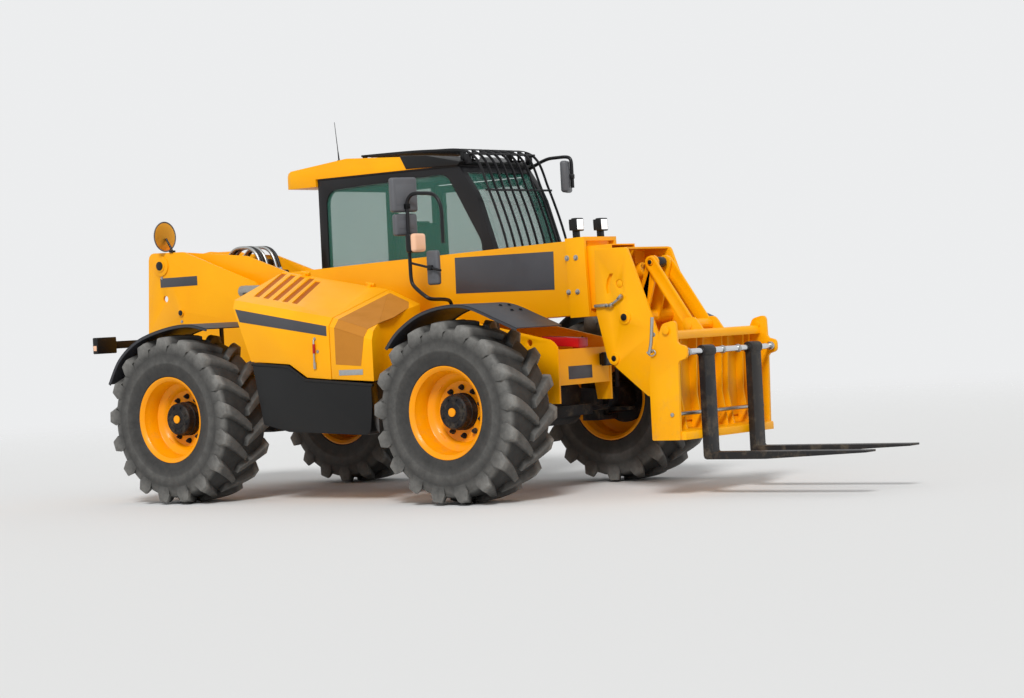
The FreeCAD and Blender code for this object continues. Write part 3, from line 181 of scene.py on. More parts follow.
def moulded(name, look):
    # Moulded plastic or rubber: a fine grain all over and paler dust where it has weathered
    mat, tree, shader = newMaterial(name, Metallic=0.0, IOR=1.5, Specular_IOR_Level=look["shine"])
    wide = noise(tree, look["patch"], 6.0, 0.65)
    amount = ranged(tree, wide, 0.45, 0.7, 0.0, look["dust"])
    # Grain is taken as under 1 mm, not measured, and drawn at 2 to 11 mm so that it shows
    connect(
        tree, shader, Base_Color=blend(tree, amount, colour(look["colour"]), colour(look["dusty"])),
        Roughness=ranged(tree, wide, 0.3, 0.7, look["rough"] - 0.08, look["rough"] + 0.08),
        Normal=bumped(tree, noise(tree, look["grain"], 3.0), 0.12, 0.001),
    )
    return mat


def tyreCompound(name, look):
    # Black rubber: dull, greyed where the value stored on the mesh is high
    mat, tree, shader = newMaterial(name, Metallic=0.0, IOR=1.5, Specular_IOR_Level=0.3)
    greying = addNode(tree, "Attribute", attribute_name="greying").outputs["Fac"]
    uneven = ranged(tree, noise(tree, 16.0, 8.0, 0.7), 0.3, 0.7, 0.6, 1.2)
    amount = addNode(tree, "Math", {0: greying, 1: uneven}, operation="MULTIPLY", use_clamp=True).outputs[0]
    # Grain is taken as under 1 mm, not measured, and drawn at 7 mm so that it shows
    connect(
        tree, shader, Base_Color=blend(tree, amount, colour(look["colour"]), colour(look["dusty"])),
        Roughness=ranged(tree, amount, 0.0, 1.0, 0.62, 0.85),
        Normal=bumped(tree, noise(tree, 140.0, 3.0), 0.15, 0.001),
    )
    return mat


def bareMetal(name, look):
    # Plated or bare steel: metallic with fine drawn or turned marks
    mat, tree, shader = newMaterial(name, Metallic=1.0)
    marks = noise(tree, 60.0, 5.0, 0.7)
    connect(
        tree, shader, Base_Color=blend(tree, marks, colour(look["colour"]), colour(look["shade"])),
        Roughness=ranged(tree, marks, 0.3, 0.7, look["rough"], look["rough"] + 0.1),
    )
    return mat


def clear(name, look):
    # Glass or a clear lens: thin, glossy and tinted
    mat, tree, shader = newMaterial(
        name, Base_Color=colour(look["colour"]), Roughness=0.03, IOR=1.5, Alpha=look["alpha"],
    )
    connect(tree, shader, Normal=bumped(tree, noise(tree, 2.0, 1.0), 0.02, 0.01))
    if look.get("glow"):
        shader.inputs["Emission Color"].default_value = colour(look["colour"])
        shader.inputs["Emission Strength"].default_value = look["glow"]
    return mat


def looks(columns, rows):
    return {name: dict(zip(columns.split(), row)) for name, row in rows.items()}


paints = looks("colour shade rough coat dust dustTop", {
    "yellowEnamel": ("#ffb200", "#fba800", 0.34, 0.05, 0.5, 1.0),
    "rimEnamel": ("#fda400", "#f59700", 0.34, 0.08, 0.35, 1.2),
    "redEnamel": ("#c3161c", "#a81016", 0.35, 0.4, 0.2, 0.8),
    "blackEnamel": ("#111113", "#18181b", 0.4, 0.15, 0.4, 1.0),
    "forkSteelPaint": ("#1c1c1e", "#2b2724", 0.45, 0.1, 0.5, 1.4),
    "axlePaint": ("#141416", "#1e1e21", 0.5, 0.0, 0.7, 1.1),
    # Painted shade: the dark orange of the shadow inside the bonnet's louvre slots
    "paintedShadeEnamel": ("#b8620c", "#a9570a", 0.5, 0.0, 0.1, 0.8),
    "greyEnamel": ("#4a4a4e", "#444448", 0.4, 0.2, 0.1, 0.8),
})
mouldings = looks("colour dusty dust patch rough grain shine", {
    "fenderPlastic": ("#2c2d32", "#3b3b40", 0.5, 3.0, 0.5, 260, 0.5),
    "blackPlastic": ("#0d0d0e", "#161615", 0.4, 3.0, 0.4, 260, 0.3),
    "mirrorPlastic": ("#55565a", "#66676a", 0.4, 5.0, 0.5, 260, 0.5),
    "hoseRubber": ("#151516", "#2a2a2a", 0.4, 9.0, 0.55, 300, 0.5),
    "sealRubber": ("#101011", "#1a1a1a", 0.3, 9.0, 0.6, 300, 0.4),
    "seatCloth": ("#2b2c30", "#3a3b40", 0.5, 12.0, 0.85, 420, 0.25),
    # Partly the mesh's own colour and partly painted shade: the dark inside the hood seen through its holes
    "meshAndShadeSheet": ("#bd7a22", "#a96b1c", 0.5, 4.0, 0.55, 90, 0.3),
    "castIron": ("#3b3a39", "#5a5348", 0.6, 6.0, 0.7, 150, 0.4),
})
metals = looks("colour shade rough", {
    "chromePlate": ("#e2e3e6", "#cfd1d4", 0.08),
    "zincPlate": ("#c3c4c2", "#9b9c9a", 0.3),
    "exhaustSteel": ("#b9b5ae", "#8e8a84", 0.28),
    # Painted reflection: an amber tint that stands for yellow paint seen in the round mirror
    "paintedReflectionMirror": ("#ffbe48", "#f7b03a", 0.4),
    "mirrorGlass": ("#e8ebee", "#e4e7ea", 0.02),
})
clears = looks("colour alpha glow", {
    "tintedGlass": ("#3f7f70", 0.3),
    "lampLens": ("#f4f6f8", 0.85, 0.9),
    "amberLens": ("#f2bf9c", 0.85, 0.2),
    "darkLens": ("#2a2c30", 0.9),
    "redLens": ("#d3201a", 0.85, 0.2),
})
mats = {}
for make, table in ((painted, paints), (moulded, mouldings), (bareMetal, metals), (clear, clears)):
    mats.update({name: make(name, look) for name, look in table.items()})
mats["tyreRubber"] = tyreCompound("tyreRubber", {"colour": "#0e0e0f", "dusty": "#a3a19c"})
print("materials made")


# Mesh helpers: each shape is a small closed bmesh about the machine's own datum, and a piece gathers some of them

def settle(part):
    bmesh.ops.remove_doubles(part, verts=part.verts, dist=1e-6)
    bmesh.ops.recalc_face_normals(part, faces=part.faces)
    return part


def bevelSharp(part, width, angle=25, segments=2):
    edges = [e for e in part.edges if len(e.link_faces) == 2 and e.calc_face_angle(0) > math.radians(angle)]
    bmesh.ops.bevel(
        part, geom=edges, offset=width, offset_type="OFFSET", affect="EDGES", segments=segments, profile=0.5,
        material=-1, clamp_overlap=True,
    )


def moved(part, matrix):
    bmesh.ops.transform(part, matrix=matrix, verts=part.verts)
    return part


def block(low, high, width=0.003, segments=2):
    part = bmesh.new()
    bmesh.ops.create_cube(part, size=1.0)
    bmesh.ops.scale(part, vec=Vector(high) - Vector(low), verts=part.verts)
    if width:
        bevelSharp(part, width, segments=segments)
    return settle(moved(part, Matrix.Translation((Vector(low) + Vector(high)) / 2)))


def rod(start, end, radius, sides=24, width=0.0015, tip=None):
    part = bmesh.new()
    run = Vector(end) - Vector(start)
    bmesh.ops.create_cone(
        part, cap_ends=True, segments=sides, radius1=radius, radius2=tip or radius, depth=run.length,
    )
    if width:
        rims = [e for e in part.edges if abs(e.verts[0].co.z - e.verts[1].co.z) < 1e-6]
        bmesh.ops.bevel(part, geom=rims, offset=width, affect="EDGES", segments=2, profile=0.5, material=-1)
    place = Matrix.Translation((Vector(start) + Vector(end)) / 2) @ run.to_track_quat("Z", "Y").to_matrix().to_4x4()
    return settle(moved(part, place))


def across(x, z, y0, y1, radius, sides=24, width=0.0015):
    return rod((x, y0, z), (x, y1, z), radius, sides, width)


def pair(x, z, near, far, radius, sides=32, width=0.002):
    # The same short pin on both sides of the machine
    return [across(x, z, y0, y1, radius, sides, width) for y0, y1 in ((-far, -near), (near, far))]


def sided(side, x0, x1, near, far, z0, z1, width=0.002, segments=2):
    # A block on the machine's left (1) or right (-1), between two distances from the middle
    y0, y1 = sorted((side * near, side * far))
    return block((x0, y0, z0), (x1, y1, z1), width, segments=segments)


def bolt(at, way, radius=0.011):
    # Washer and hexagon head standing off a face
    at, way = Vector(at), Vector(way).normalized()
    washer = rod(at, at + way * radius * 0.25, radius * 1.45, 20, 0.0008)
    return [washer, rod(at + way * radius * 0.2, at + way * radius * 0.95, radius, 6, 0.001)]


def sheetOf(outline, place, push, width):
    # A flat outline pushed into a plate
    part = bmesh.new()
    base = part.faces.new([part.verts.new(place(a, b)) for a, b in outline])
    grown = bmesh.ops.extrude_face_region(part, geom=[base])["geom"]
    bmesh.ops.translate(part, vec=push, verts=[v for v in grown if isinstance(v, bmesh.types.BMVert)])
    settle(part)
    if width:
        bevelSharp(part, width, 28)
    return settle(part)


def plate(outline, y0, y1, width=0.003):
    return sheetOf(outline, lambda x, z: (x, y0, z), (0, y1 - y0, 0), width)


def planPlate(outline, z0, z1, width=0.003):
    return sheetOf(outline, lambda x, y: (x, y, z0), (0, 0, z1 - z0), width)


def prism(low, high):
    # Closes two matching rings of points into a solid
    part = bmesh.new()
    low, high = ([part.verts.new(p) for p in ring] for ring in (low, high))
    part.faces.new(low)
    part.faces.new(high)
    for k in range(len(low)):
        after = (k + 1) % len(low)
        part.faces.new((low[k], low[after], high[after], high[k]))
    return settle(part)


def spun(profile, steps, place=None):
    # Turns a profile of (s, radius) pairs about the Y axis
    part = bmesh.new()
    verts = [part.verts.new((0, s, r)) for s, r in profile]
    edges = [part.edges.new((a, b)) for a, b in zip(verts, verts[1:])]
    bmesh.ops.spin(
        part, geom=verts + edges, cent=(0, 0, 0), axis=(0, 1, 0), angle=math.tau, steps=steps, use_merge=True,
    )
    return settle(moved(part, place) if place else part)


def smoothLine(points, steps=8):
    # Points along a soft curve that passes through the given ones
    ends = [points[0]] + list(points) + [points[-1]]
    line = []
    for i in range(1, len(ends) - 2):
        a, b, c, d = (Vector(p) for p in ends[i - 1:i + 3])
        for k in range(steps):
            t = k / steps
            bend = (2 * a - 5 * b + 4 * c - d) * t ** 2 + (3 * b - a - 3 * c + d) * t ** 3
            line.append(0.5 * (2 * b + (c - a) * t + bend))
    return line + [Vector(points[-1])]


def ribbon(points, depth, y0, y1, width=0.002):
    # A strip of even depth below a soft side-view line
    line = smoothLine([(x, 0, z) for x, z in points])
    inner = []
    for i, here in enumerate(line):
        run = (line[min(i + 1, len(line) - 1)] - line[max(i - 1, 0)]).normalized()
        inner.append((here.x + run.z * depth, here.z - run.x * depth))
    return plate([(p.x, p.z) for p in line] + inner[::-1], y0, y1, width)


def tube(points, radius):
    # A round tube along a soft line near the given points
    curve = bpy.data.curves.new("tubeLine", "CURVE")
    curve.dimensions = "3D"
    curve.bevel_depth = radius
    curve.bevel_resolution = 4
    curve.use_fill_caps = True
    line = curve.splines.new("NURBS")
    line.points.add(len(points) - 1)
    for point, place in zip(line.points, points):
        point.co = (*place, 1)
    line.use_endpoint_u = True
    line.order_u = 3
    line.resolution_u = 6
    holder = bpy.data.objects.new("tubeLine", curve)
    link(holder)
    bpy.context.view_layer.update()
    mesh = bpy.data.meshes.new_from_object(holder.evaluated_get(bpy.context.evaluated_depsgraph_get()))
    bpy.data.objects.remove(holder)
    part = bmesh.new()
    part.from_mesh(mesh)
    bpy.data.meshes.remove(mesh)
    return settle(part)


def meshOf(name, part):
    mesh = bpy.data.meshes.new(name)
    part.to_mesh(mesh)
    part.free()
    return mesh


def gather(parts, matrix=None):
    whole = bmesh.new()
    for part in parts:
        mesh = meshOf("part", part)
        whole.from_mesh(mesh)
        bpy.data.meshes.remove(mesh)
    return moved(whole, matrix) if matrix else whole


def carve(whole, cutters):
    # Cuts closed shapes, given in the machine's datum, out of a piece that is already in the frame
    objects = []
    for bm in (whole, gather(cutters, Matrix.Translation(datum))):
        objects.append(bpy.data.objects.new("carved", meshOf("carved", bm)))
        link(objects[-1])
    cut = objects[0].modifiers.new("carve", "BOOLEAN")
    cut.object = objects[1]
    cut.operation = "DIFFERENCE"
    cut.solver = "EXACT"
    bpy.context.view_layer.update()
    mesh = bpy.data.meshes.new_from_object(objects[0].evaluated_get(bpy.context.evaluated_depsgraph_get()))
    for one in objects:
        bpy.data.objects.remove(one)
    part = bmesh.new()
    part.from_mesh(mesh)
    return part


def finishPiece(name, whole, body, material, smooth=32):
    mesh = meshOf(name, whole)
    mesh.shade_smooth()
    mesh.set_sharp_from_angle(angle=math.radians(smooth))
    mesh.materials.clear()
    mesh.materials.append(mats[material])
    piece = bpy.data.objects.new(name, mesh)
    link(piece)
    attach(piece, body)
    return piece


def makePiece(name, parts, body, material, smooth=32, instead=()):
    # Parts are in the machine's datum
    piece = finishPiece(name, gather(parts, Matrix.Translation(datum)), body, material, smooth)
    if instead:
        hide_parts(*instead)


def dress(name, material, width, cutters=None):
    # A copy of a CAD piece with its flat faces joined and its edges broken, as a real edge is
    whole = bmesh.new()
    whole.from_mesh(nodes[name].data)
    bmesh.ops.remove_doubles(whole, verts=whole.verts, dist=2e-5)
    bmesh.ops.dissolve_limit(
        whole, angle_limit=math.radians(1.2), use_dissolve_boundaries=False, verts=whole.verts, edges=whole.edges,
        delimit=set(),
    )
    if cutters:
        whole = carve(whole, cutters)
    if width:
        bevelSharp(whole, width, 28)
    piece = finishPiece(name + "Skin", whole, nodes[name]["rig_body"], material, 34)
    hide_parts(name)


def raised(part):
    # From level to the boom's resting rise
    pivot = Vector(machine["boomPivot"])
    turn = Matrix.Translation(pivot) @ Matrix.Rotation(math.radians(machine["boomRise"]), 4, (0, -1, 0))
    return moved(part, turn @ Matrix.Translation(-pivot))


# Wheels are made once about the origin, outer side towards +Y, and set in place at each corner

def wheelPlace(corner):
    x = machine["frontAxle"] if corner[0] == "f" else machine["rearAxle"]
    side = 1 if corner[1] == "l" else -1
    return Matrix.Translation((x, side * machine["wheelY"], machine["axleZ"])) @ Matrix.Scale(side, 4, (0, 1, 0))


def cornered(part, place, corner):
    # Sets a left-hand pattern at its corner; the right is a mirror image, so its faces are turned back out
    moved(part, Matrix.Translation(datum) @ place)
    if corner[1] == "r":
        bmesh.ops.reverse_faces(part, faces=part.faces)
    return part


def setWheels(name, parts, material, smooth, node=None):
    pattern = gather(parts)
    for corner in corners:
        copy = cornered(pattern.copy(), wheelPlace(corner), corner)
        piece = finishPiece(name + "_" + corner, copy, "wheel_" + corner, material, smooth)
        if node:
            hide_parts(node + "_" + corner)
    pattern.free()


tyre = {
    "radius": 0.655, "half": 0.25, "lugs": 17, "lugTop": 0.05, "lugFoot": 0.078, "sweep": 0.17, "overlap": 0.016,
    "shoulderDrop": 0.018, "topFlare": 0.6, "footFlare": 0.95,
}


def lug(side, lead):
    # One bar of the tread, from the middle of the tyre round its shoulder and down the sidewall
    part = bmesh.new()
    stations = [i / 9 for i in range(10)]
    ring = []
    for t in stations:
        corner = []
        for shift, top in ((-0.5, False), (0.5, False), (0.5, True), (-0.5, True)):
            s = -tyre["overlap"] + t * (tyre["half"] + tyre["overlap"])
            size, flare = ("lugTop", "topFlare") if top else ("lugFoot", "footFlare")
            width = tyre[size] * (1 + tyre[flare] * t)
            arc = tyre["sweep"] * ((1 - t) ** 1.25 - 0.5) + shift * width
            r = tyre["radius"] - 0.002 - tyre["shoulderDrop"] * t ** 4 if top else 0.6 - 0.03 * t ** 3
            angle = lead + arc / tyre["radius"]
            corner.append(part.verts.new((r * math.sin(angle), side * s, r * math.cos(angle))))
        ring.append(corner)
    last = []
    for shift, (s, r) in (
        (-0.5, (0.244, 0.518)), (0.5, (0.244, 0.518)), (0.42, (0.2525, 0.535)), (-0.42, (0.2525, 0.535)),
    ):
        angle = lead + (-0.5 * tyre["sweep"] + shift * tyre["lugFoot"] * 1.6) / tyre["radius"]
        last.append(part.verts.new((r * math.sin(angle), side * s, r * math.cos(angle))))
    ring.append(last)
    for low, high in zip(ring, ring[1:]):
        for i in range(4):
            part.faces.new((low[i], low[(i + 1) % 4], high[(i + 1) % 4], high[i]))
    part.faces.new(ring[0])
    part.faces.new(ring[-1][::-1])
    settle(part)
    bevelSharp(part, 0.004, 35, 1)
    return settle(part)


def tyreParts():
    half = [
        (0.0, 0.3062), (0.19, 0.3062), (0.208, 0.312), (0.213, 0.322), (0.221, 0.338), (0.226, 0.341), (0.228, 0.348),
        (0.236, 0.385), (0.243, 0.43), (0.2455, 0.434), (0.246, 0.446), (0.248, 0.47), (0.247, 0.51), (0.240, 0.55),
        (0.222, 0.585), (0.19, 0.602), (0.12, 0.610), (0.0, 0.612),
    ]
    profile = [(-s, r) for s, r in half] + [(s, r) for s, r in reversed(half[1:-1])]
    parts = [spun(profile + [profile[0]], 96)]
    for side, lead in ((1, 0.25), (-1, 0.75)):
        for i in range(tyre["lugs"]):
            parts.append(lug(side, (i + lead) * math.tau / tyre["lugs"]))
    return parts


rim = {"bolts": 10, "boltCircle": 0.172, "capRadius": 0.031}


def rimParts():
    profile = [
        (-0.222, 0.332), (-0.222, 0.322), (-0.206, 0.300), (-0.17, 0.294), (-0.15, 0.284), (-0.05, 0.284),
        (-0.02, 0.262), (-0.005, 0.235), (0.0, 0.21), (0.0, 0.133), (0.016, 0.133), (0.016, 0.205), (0.020, 0.216),
        (0.045, 0.232), (0.062, 0.252), (0.070, 0.270), (0.078, 0.279), (0.150, 0.284), (0.165, 0.292),
        (0.200, 0.298), (0.214, 0.312), (0.2185, 0.320), (0.222, 0.326), (0.2215, 0.3315), (0.2165, 0.3325),
        (0.2115, 0.327),
        (0.207, 0.3065), (0.2, 0.3055), (-0.2, 0.3055), (-0.207, 0.3065), (-0.214, 0.331), (-0.222, 0.332),
    ]
    parts = [spun(profile, 96)]
    for i in range(4):
        turn = Matrix.Rotation((i + 0.5) * math.tau / 4, 4, "Y")
        parts.append(moved(block((-0.03, 0.044, 0.236), (0.03, 0.056, 0.286), 0.003), turn))
    return parts


def hubParts():
    profile = [
        (-0.028, 0.0), (-0.028, 0.2), (-0.022, 0.205), (-0.001, 0.205), (-0.001, 0.131), (0.030, 0.131),
        (0.034, 0.128), (0.060, 0.127), (0.062, 0.131), (0.074, 0.131), (0.077, 0.127), (0.128, 0.122),
        (0.138, 0.112), (0.140, 0.075), (0.1435, 0.070), (0.1435, 0.040), (0.1405, 0.037), (0.1405, 0.0),
    ]
    parts = [spun(profile, 64)]
    circle = rim["boltCircle"]
    for i in range(rim["bolts"]):
        made = [
            across(0, circle, 0.014, 0.026, 0.021, 20, 0.002), across(0, circle, 0.024, 0.044, 0.0155, 6, 0.002),
            across(0, circle, 0.040, 0.054, 0.009, 12, 0.002),
        ]
        parts.append(gather(made, Matrix.Rotation(i * math.tau / rim["bolts"], 4, "Y")))
    for i in range(8):
        turn = Matrix.Rotation((i + 0.5) * math.tau / 8, 4, "Y")
        parts.append(moved(across(0, 0.094, 0.132, 0.147, 0.009, 6, 0.001), turn))
    return parts


def markGreying(corner):
    # Greyer towards the shoulder and in a ring on each sidewall, and on the lug tops; darker on the bead and on the
    # floor between the lugs
    mesh = bpy.data.objects["tyreRubber_" + corner].data
    centre = wheelPlace(corner).translation + datum
    greying = mesh.attributes.new("greying", "FLOAT", "POINT")
    for vert, value in zip(mesh.vertices, greying.data):
        r = math.hypot(vert.co.x - centre.x, vert.co.z - centre.z)
        s = abs(vert.co.y - centre.y)
        if s > 0.215 and r > 0.35:
            ring = max(0.0, 1 - abs(r - 0.455) / 0.035)
            value.value = min(0.62, 0.1 + 0.2 * ring + 3.6 * max(0.0, r - 0.5))
        elif r > 0.625:
            value.value = 0.3
        else:
            value.value = 0.1


setWheels("tyreRubber", tyreParts(), "tyreRubber", 38, "tyre")
for corner in corners:
    markGreying(corner)
setWheels("rimPaint", rimParts(), "rimEnamel", 26, "rim")
setWheels("hubCasting", hubParts(), "axlePaint", 30, "hub")
setWheels("hubCap", [rod((0, 0.139, 0), (0, 0.1505, 0), rim["capRadius"], 32, 0.003)], "rimEnamel", 30)
print("wheels made")


# Mudguards: soft moulded sheets with a turned lip and bolts
fender = {"sheet": 0.008, "lip": 0.024, "inner": 0.716, "outer": 1.238}
fenderLines = {
    "f": [(0.87, 1.13), (0.99, 1.25), (1.19, 1.36), (1.42, 1.41), (1.64, 1.40), (1.90, 1.30), (2.07, 1.23)],
    "r": [(-2.01, 0.95), (-1.88, 1.14), (-1.67, 1.28), (-1.38, 1.36), (-1.11, 1.385), (-0.90, 1.345)],
}
for corner in corners:
    line = fenderLines[corner[0]]
    front = corner[0] == "f"
    x = machine["frontAxle"] if front else machine["rearAxle"]
    top = 1.404 if front else 1.368
    flip = Matrix.Scale(1 if corner[1] == "l" else -1, 4, (0, 1, 0))
    parts = [
        ribbon(line, fender["sheet"], fender["inner"], fender["outer"]),
        ribbon(line, fender["lip"], fender["outer"] - 0.010, fender["outer"], 0.0035),
        ribbon(line, 0.014, fender["inner"], fender["inner"] + 0.008, 0.002),
        block((x + 0.115, 0.70, 0.735), (x + 0.13, 0.735, top), 0.002),
        block((x + 0.09, 0.72, top - 0.03), (x + 0.155, 0.93, top - 0.012), 0.002),
    ]
    studs = []
    places = [(x + 0.1, 0.8), (x + 0.1, 0.9)]
    if front:
        places = [(x + 0.30, 0.80), (x + 0.30, 0.90), (x + 0.40, 0.80), (x + 0.40, 0.90)]
    soft = smoothLine([(a, 0, b) for a, b in line], 30)
    for a, y in places:
        z = min(soft, key=lambda p: abs(p.x - a)).z
        studs += bolt((a, y, z - 0.001), (0.1, 0, 1), 0.011)
    node = "fender_" + corner
    body = nodes[node]["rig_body"]
    skin = finishPiece(
        "fenderSkin_" + corner, cornered(gather(parts), flip, corner), body, "fenderPlastic",
    )
    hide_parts(node)
    finishPiece("fenderBolts_" + corner, cornered(gather(studs), flip, corner), body, "blackPlastic")
print("mudguards made")


# Panels and frames are the CAD pieces with broken edges and their real finish
louvre = {"count": 5, "pitch": 0.097, "first": -0.662, "slant": 0.16, "outerY": -0.95, "innerY": -0.43, "wide": 0.054}
ridge = {
    "rearX": -0.84, "rearZ": 1.76, "frontX": 0.24, "frontZ": 1.566, "innerY": -0.42, "creaseY": -1.07, "fall": 0.195,
}


def podTop(x, y):
    # Height of the bonnet's sloping top
    share = (x - ridge["rearX"]) / (ridge["frontX"] - ridge["rearX"])
    along = ridge["rearZ"] + (ridge["frontZ"] - ridge["rearZ"]) * share
    return along - ridge["fall"] * (ridge["innerY"] - y) / (ridge["innerY"] - ridge["creaseY"])


def louvreBar(i, wide, low, high):
    # A bar along louvre i between two heights above the bonnet's top
    outerX = louvre["first"] + i * louvre["pitch"]
    innerX = outerX - louvre["slant"]
    innerY = louvre["innerY"] - (0.06 if i == louvre["count"] - 1 else 0.02)
    marks = [
        (outerX, louvre["outerY"]), (outerX + wide, louvre["outerY"]), (innerX + wide, innerY), (innerX, innerY),
    ]
    return prism(*([(x, y, podTop(x, y) + lift) for x, y in marks] for lift in (low, high)))


bonnetCuts = [louvreBar(i, louvre["wide"], -0.012, 0.05) for i in range(louvre["count"])]
headSlot = [(2.205, 1.575), (2.18, 1.53), (2.168, 1.48), (2.175, 1.435)]
headCuts = [
    plate([(x - 0.012, z) for x, z in headSlot] + [(x + 0.02, z) for x, z in reversed(headSlot)], -0.3, -0.262, 0),
    across(2.275, 1.50, -0.3, -0.277, 0.03, 32, 0),
]
finishes = {
    "chassis": ("yellowEnamel", 0.003), "boom_prop": ("redEnamel", 0.003), "counterweight": ("blackEnamel", 0.006),
    "front_axle": ("axlePaint", 0.005), "rear_axle": ("axlePaint", 0.005), "driveline": ("castIron", 0.004),
    "engine_block": ("castIron", 0.01), "pod_body": ("yellowEnamel", 0.002), "grille_hood": ("yellowEnamel", 0.008),
    "side_panel": ("blackPlastic", 0.012), "fuel_tank": ("blackPlastic", 0.008),
    "cab_frame": ("blackEnamel", 0.006), "cab_roof": ("yellowEnamel", 0.014), "cab_interior": ("blackPlastic", 0.006),
    "cab_door": ("blackEnamel", 0.004), "bonnet": ("yellowEnamel", 0.006, bonnetCuts),
    "boom_outer": ("yellowEnamel", 0.005), "boom_inner": ("yellowEnamel", 0.005),
    "boom_head": ("yellowEnamel", 0.004, headCuts),
    "tilt_lever": ("yellowEnamel", 0.003), "tilt_link": ("yellowEnamel", 0.003), "carriage": ("yellowEnamel", 0.003),
    "fork_right": ("forkSteelPaint", 0.003), "fork_left": ("forkSteelPaint", 0.003),
    "cab_glass": ("tintedGlass", 0.0), "door_glass": ("tintedGlass", 0.0),
}
for corner in corners:
    finishes["knuckle_" + corner] = ("axlePaint", 0.004)
for name, look in finishes.items():
    dress(name, *look)
print("panels dressed")


# Engine pod: louvre inserts of painted shade, mesh panels, stripe, latch, skirt lip and exhaust tail
# The louvre inserts are painted shade: a dark orange floor in each slot that stands for the shadow inside it
inserts = [louvreBar(i, louvre["wide"] - 0.001, -0.0115, -0.008) for i in range(louvre["count"])]
makePiece("louvrePaintedShade", inserts, "bonnet_lid", "paintedShadeEnamel")
stripe = [(-0.70, 1.476), (-0.66, 1.378), (0.215, 1.238), (0.215, 1.312)]
makePiece("bonnetStripe", [plate(stripe, -1.1215, -1.118, 0.0005)], "bonnet_lid", "greyEnamel")
latchParts = [
    rod((0.09, -1.133, 1.005), (0.094, -1.133, 1.215), 0.007, 16),
    block((0.08, -1.136, 1.0), (0.102, -1.118, 1.05), 0.003),
]
latchParts += bolt((0.118, -1.12, 1.128), (0, -1, 0), 0.009) + bolt((0.094, -1.12, 1.222), (0, -1, 0), 0.009)
makePiece("bonnetLatch", latchParts, "bonnet_lid", "zincPlate")
makePiece(
    "latchGrip", [rod((0.092, -1.133, 1.115), (0.094, -1.133, 1.185), 0.0105, 20, 0.003)], "bonnet_lid",
    "redEnamel",
)
hood = {"seamX": 0.24, "long": 0.42, "innerY": -0.42, "wide": 0.65, "seam": (1.566, 1.371), "nose": (1.39, 1.25)}


def hoodTop(u, v):
    # A point on the hood's folded top: u from the seam to the nose, v from the ridge to the crease
    (a, b), (c, d) = hood["seam"], hood["nose"]
    z = a + v * (b - a) + u * (d - b) if v >= u else a + u * (c - a) + v * (d - c)
    return Vector((hood["seamX"] + u * hood["long"], hood["innerY"] - v * hood["wide"], z))


def patch(outline, lift=0.0025):
    # A thin sheet standing a little off a flat outline in space
    up = (outline[1] - outline[0]).cross(outline[2] - outline[1]).normalized()
    up = up if up.z > -0.01 and (up.z > 0.05 or up.y < 0) else -up
    return prism(*([p + up * d for p in outline] for d in (-0.004, lift)))


outer = [hoodTop(u, v) for u, v in ((0.13, 0.131), (0.13, 1.0), (0.8, 1.0), (0.8, 0.801))]
inner = [hoodTop(u, v) for u, v in ((0.13, 0.08), (0.13, 0.13), (0.8, 0.8), (0.8, 0.55), (0.7, 0.2), (0.55, 0.08))]
creaseA, creaseB = hoodTop(0.13, 1.0), hoodTop(0.8, 1.0)
down = Vector((0, -0.05, -0.06))
bevelStrip = [creaseA, creaseB, creaseB + down, creaseA + down]
sideStrip = [creaseA + down, creaseB + down, Vector((0.535, -1.12, 1.01)), Vector((0.292, -1.12, 1.028))]
# The hood mesh is drawn as solid sheets; their dull orange-brown is the mesh's colour with painted shade from behind
# its holes
meshParts = [patch(outline) for outline in (outer, inner, bevelStrip, sideStrip)]
makePiece("hoodMesh", meshParts, "machine", "meshAndShadeSheet")
plateBits = [block((0.318, -1.1225, 0.945), (0.55, -1.118, 0.985), 0.001)]
makePiece("hoodPlate", plateBits, "machine", "zincPlate")
lipPath = [
    (-0.548, 1.066), (-0.30, 1.046), (-0.185, 1.034), (-0.15, 1.018), (-0.02, 0.936), (0.02, 0.929), (0.3, 0.906),
    (0.645, 0.878),
]
makePiece(
    "skirtLip", [tube([(x, -1.126, z - 0.012) for x, z in lipPath], 0.011)], "machine",
    "blackPlastic", 50,
)
tail = {"mouth": (-1.2, -0.52, 1.622), "way": (0.5, 0, -0.014), "outer": 0.045, "inner": 0.041, "length": 0.5}
mouth = Vector(tail["mouth"])
aim = Vector(tail["way"]).normalized()
wide, bore, long = tail["outer"], tail["inner"], tail["length"]
profile = [
    (0.004, wide), (0.0, 0.043), (0.004, bore), (0.4, bore), (0.4, 0.0), (long, 0.0), (long, wide), (0.06, wide),
    (0.055, 0.047), (0.045, 0.047), (0.04, wide), (0.004, wide),
]
place = Matrix.Translation(mouth) @ aim.to_track_quat("Y", "Z").to_matrix().to_4x4()
makePiece(
    "exhaustTail", [spun(profile, 40, place)], "machine", "exhaustSteel", 40, instead=["exhaust"],
)
print("pod made")


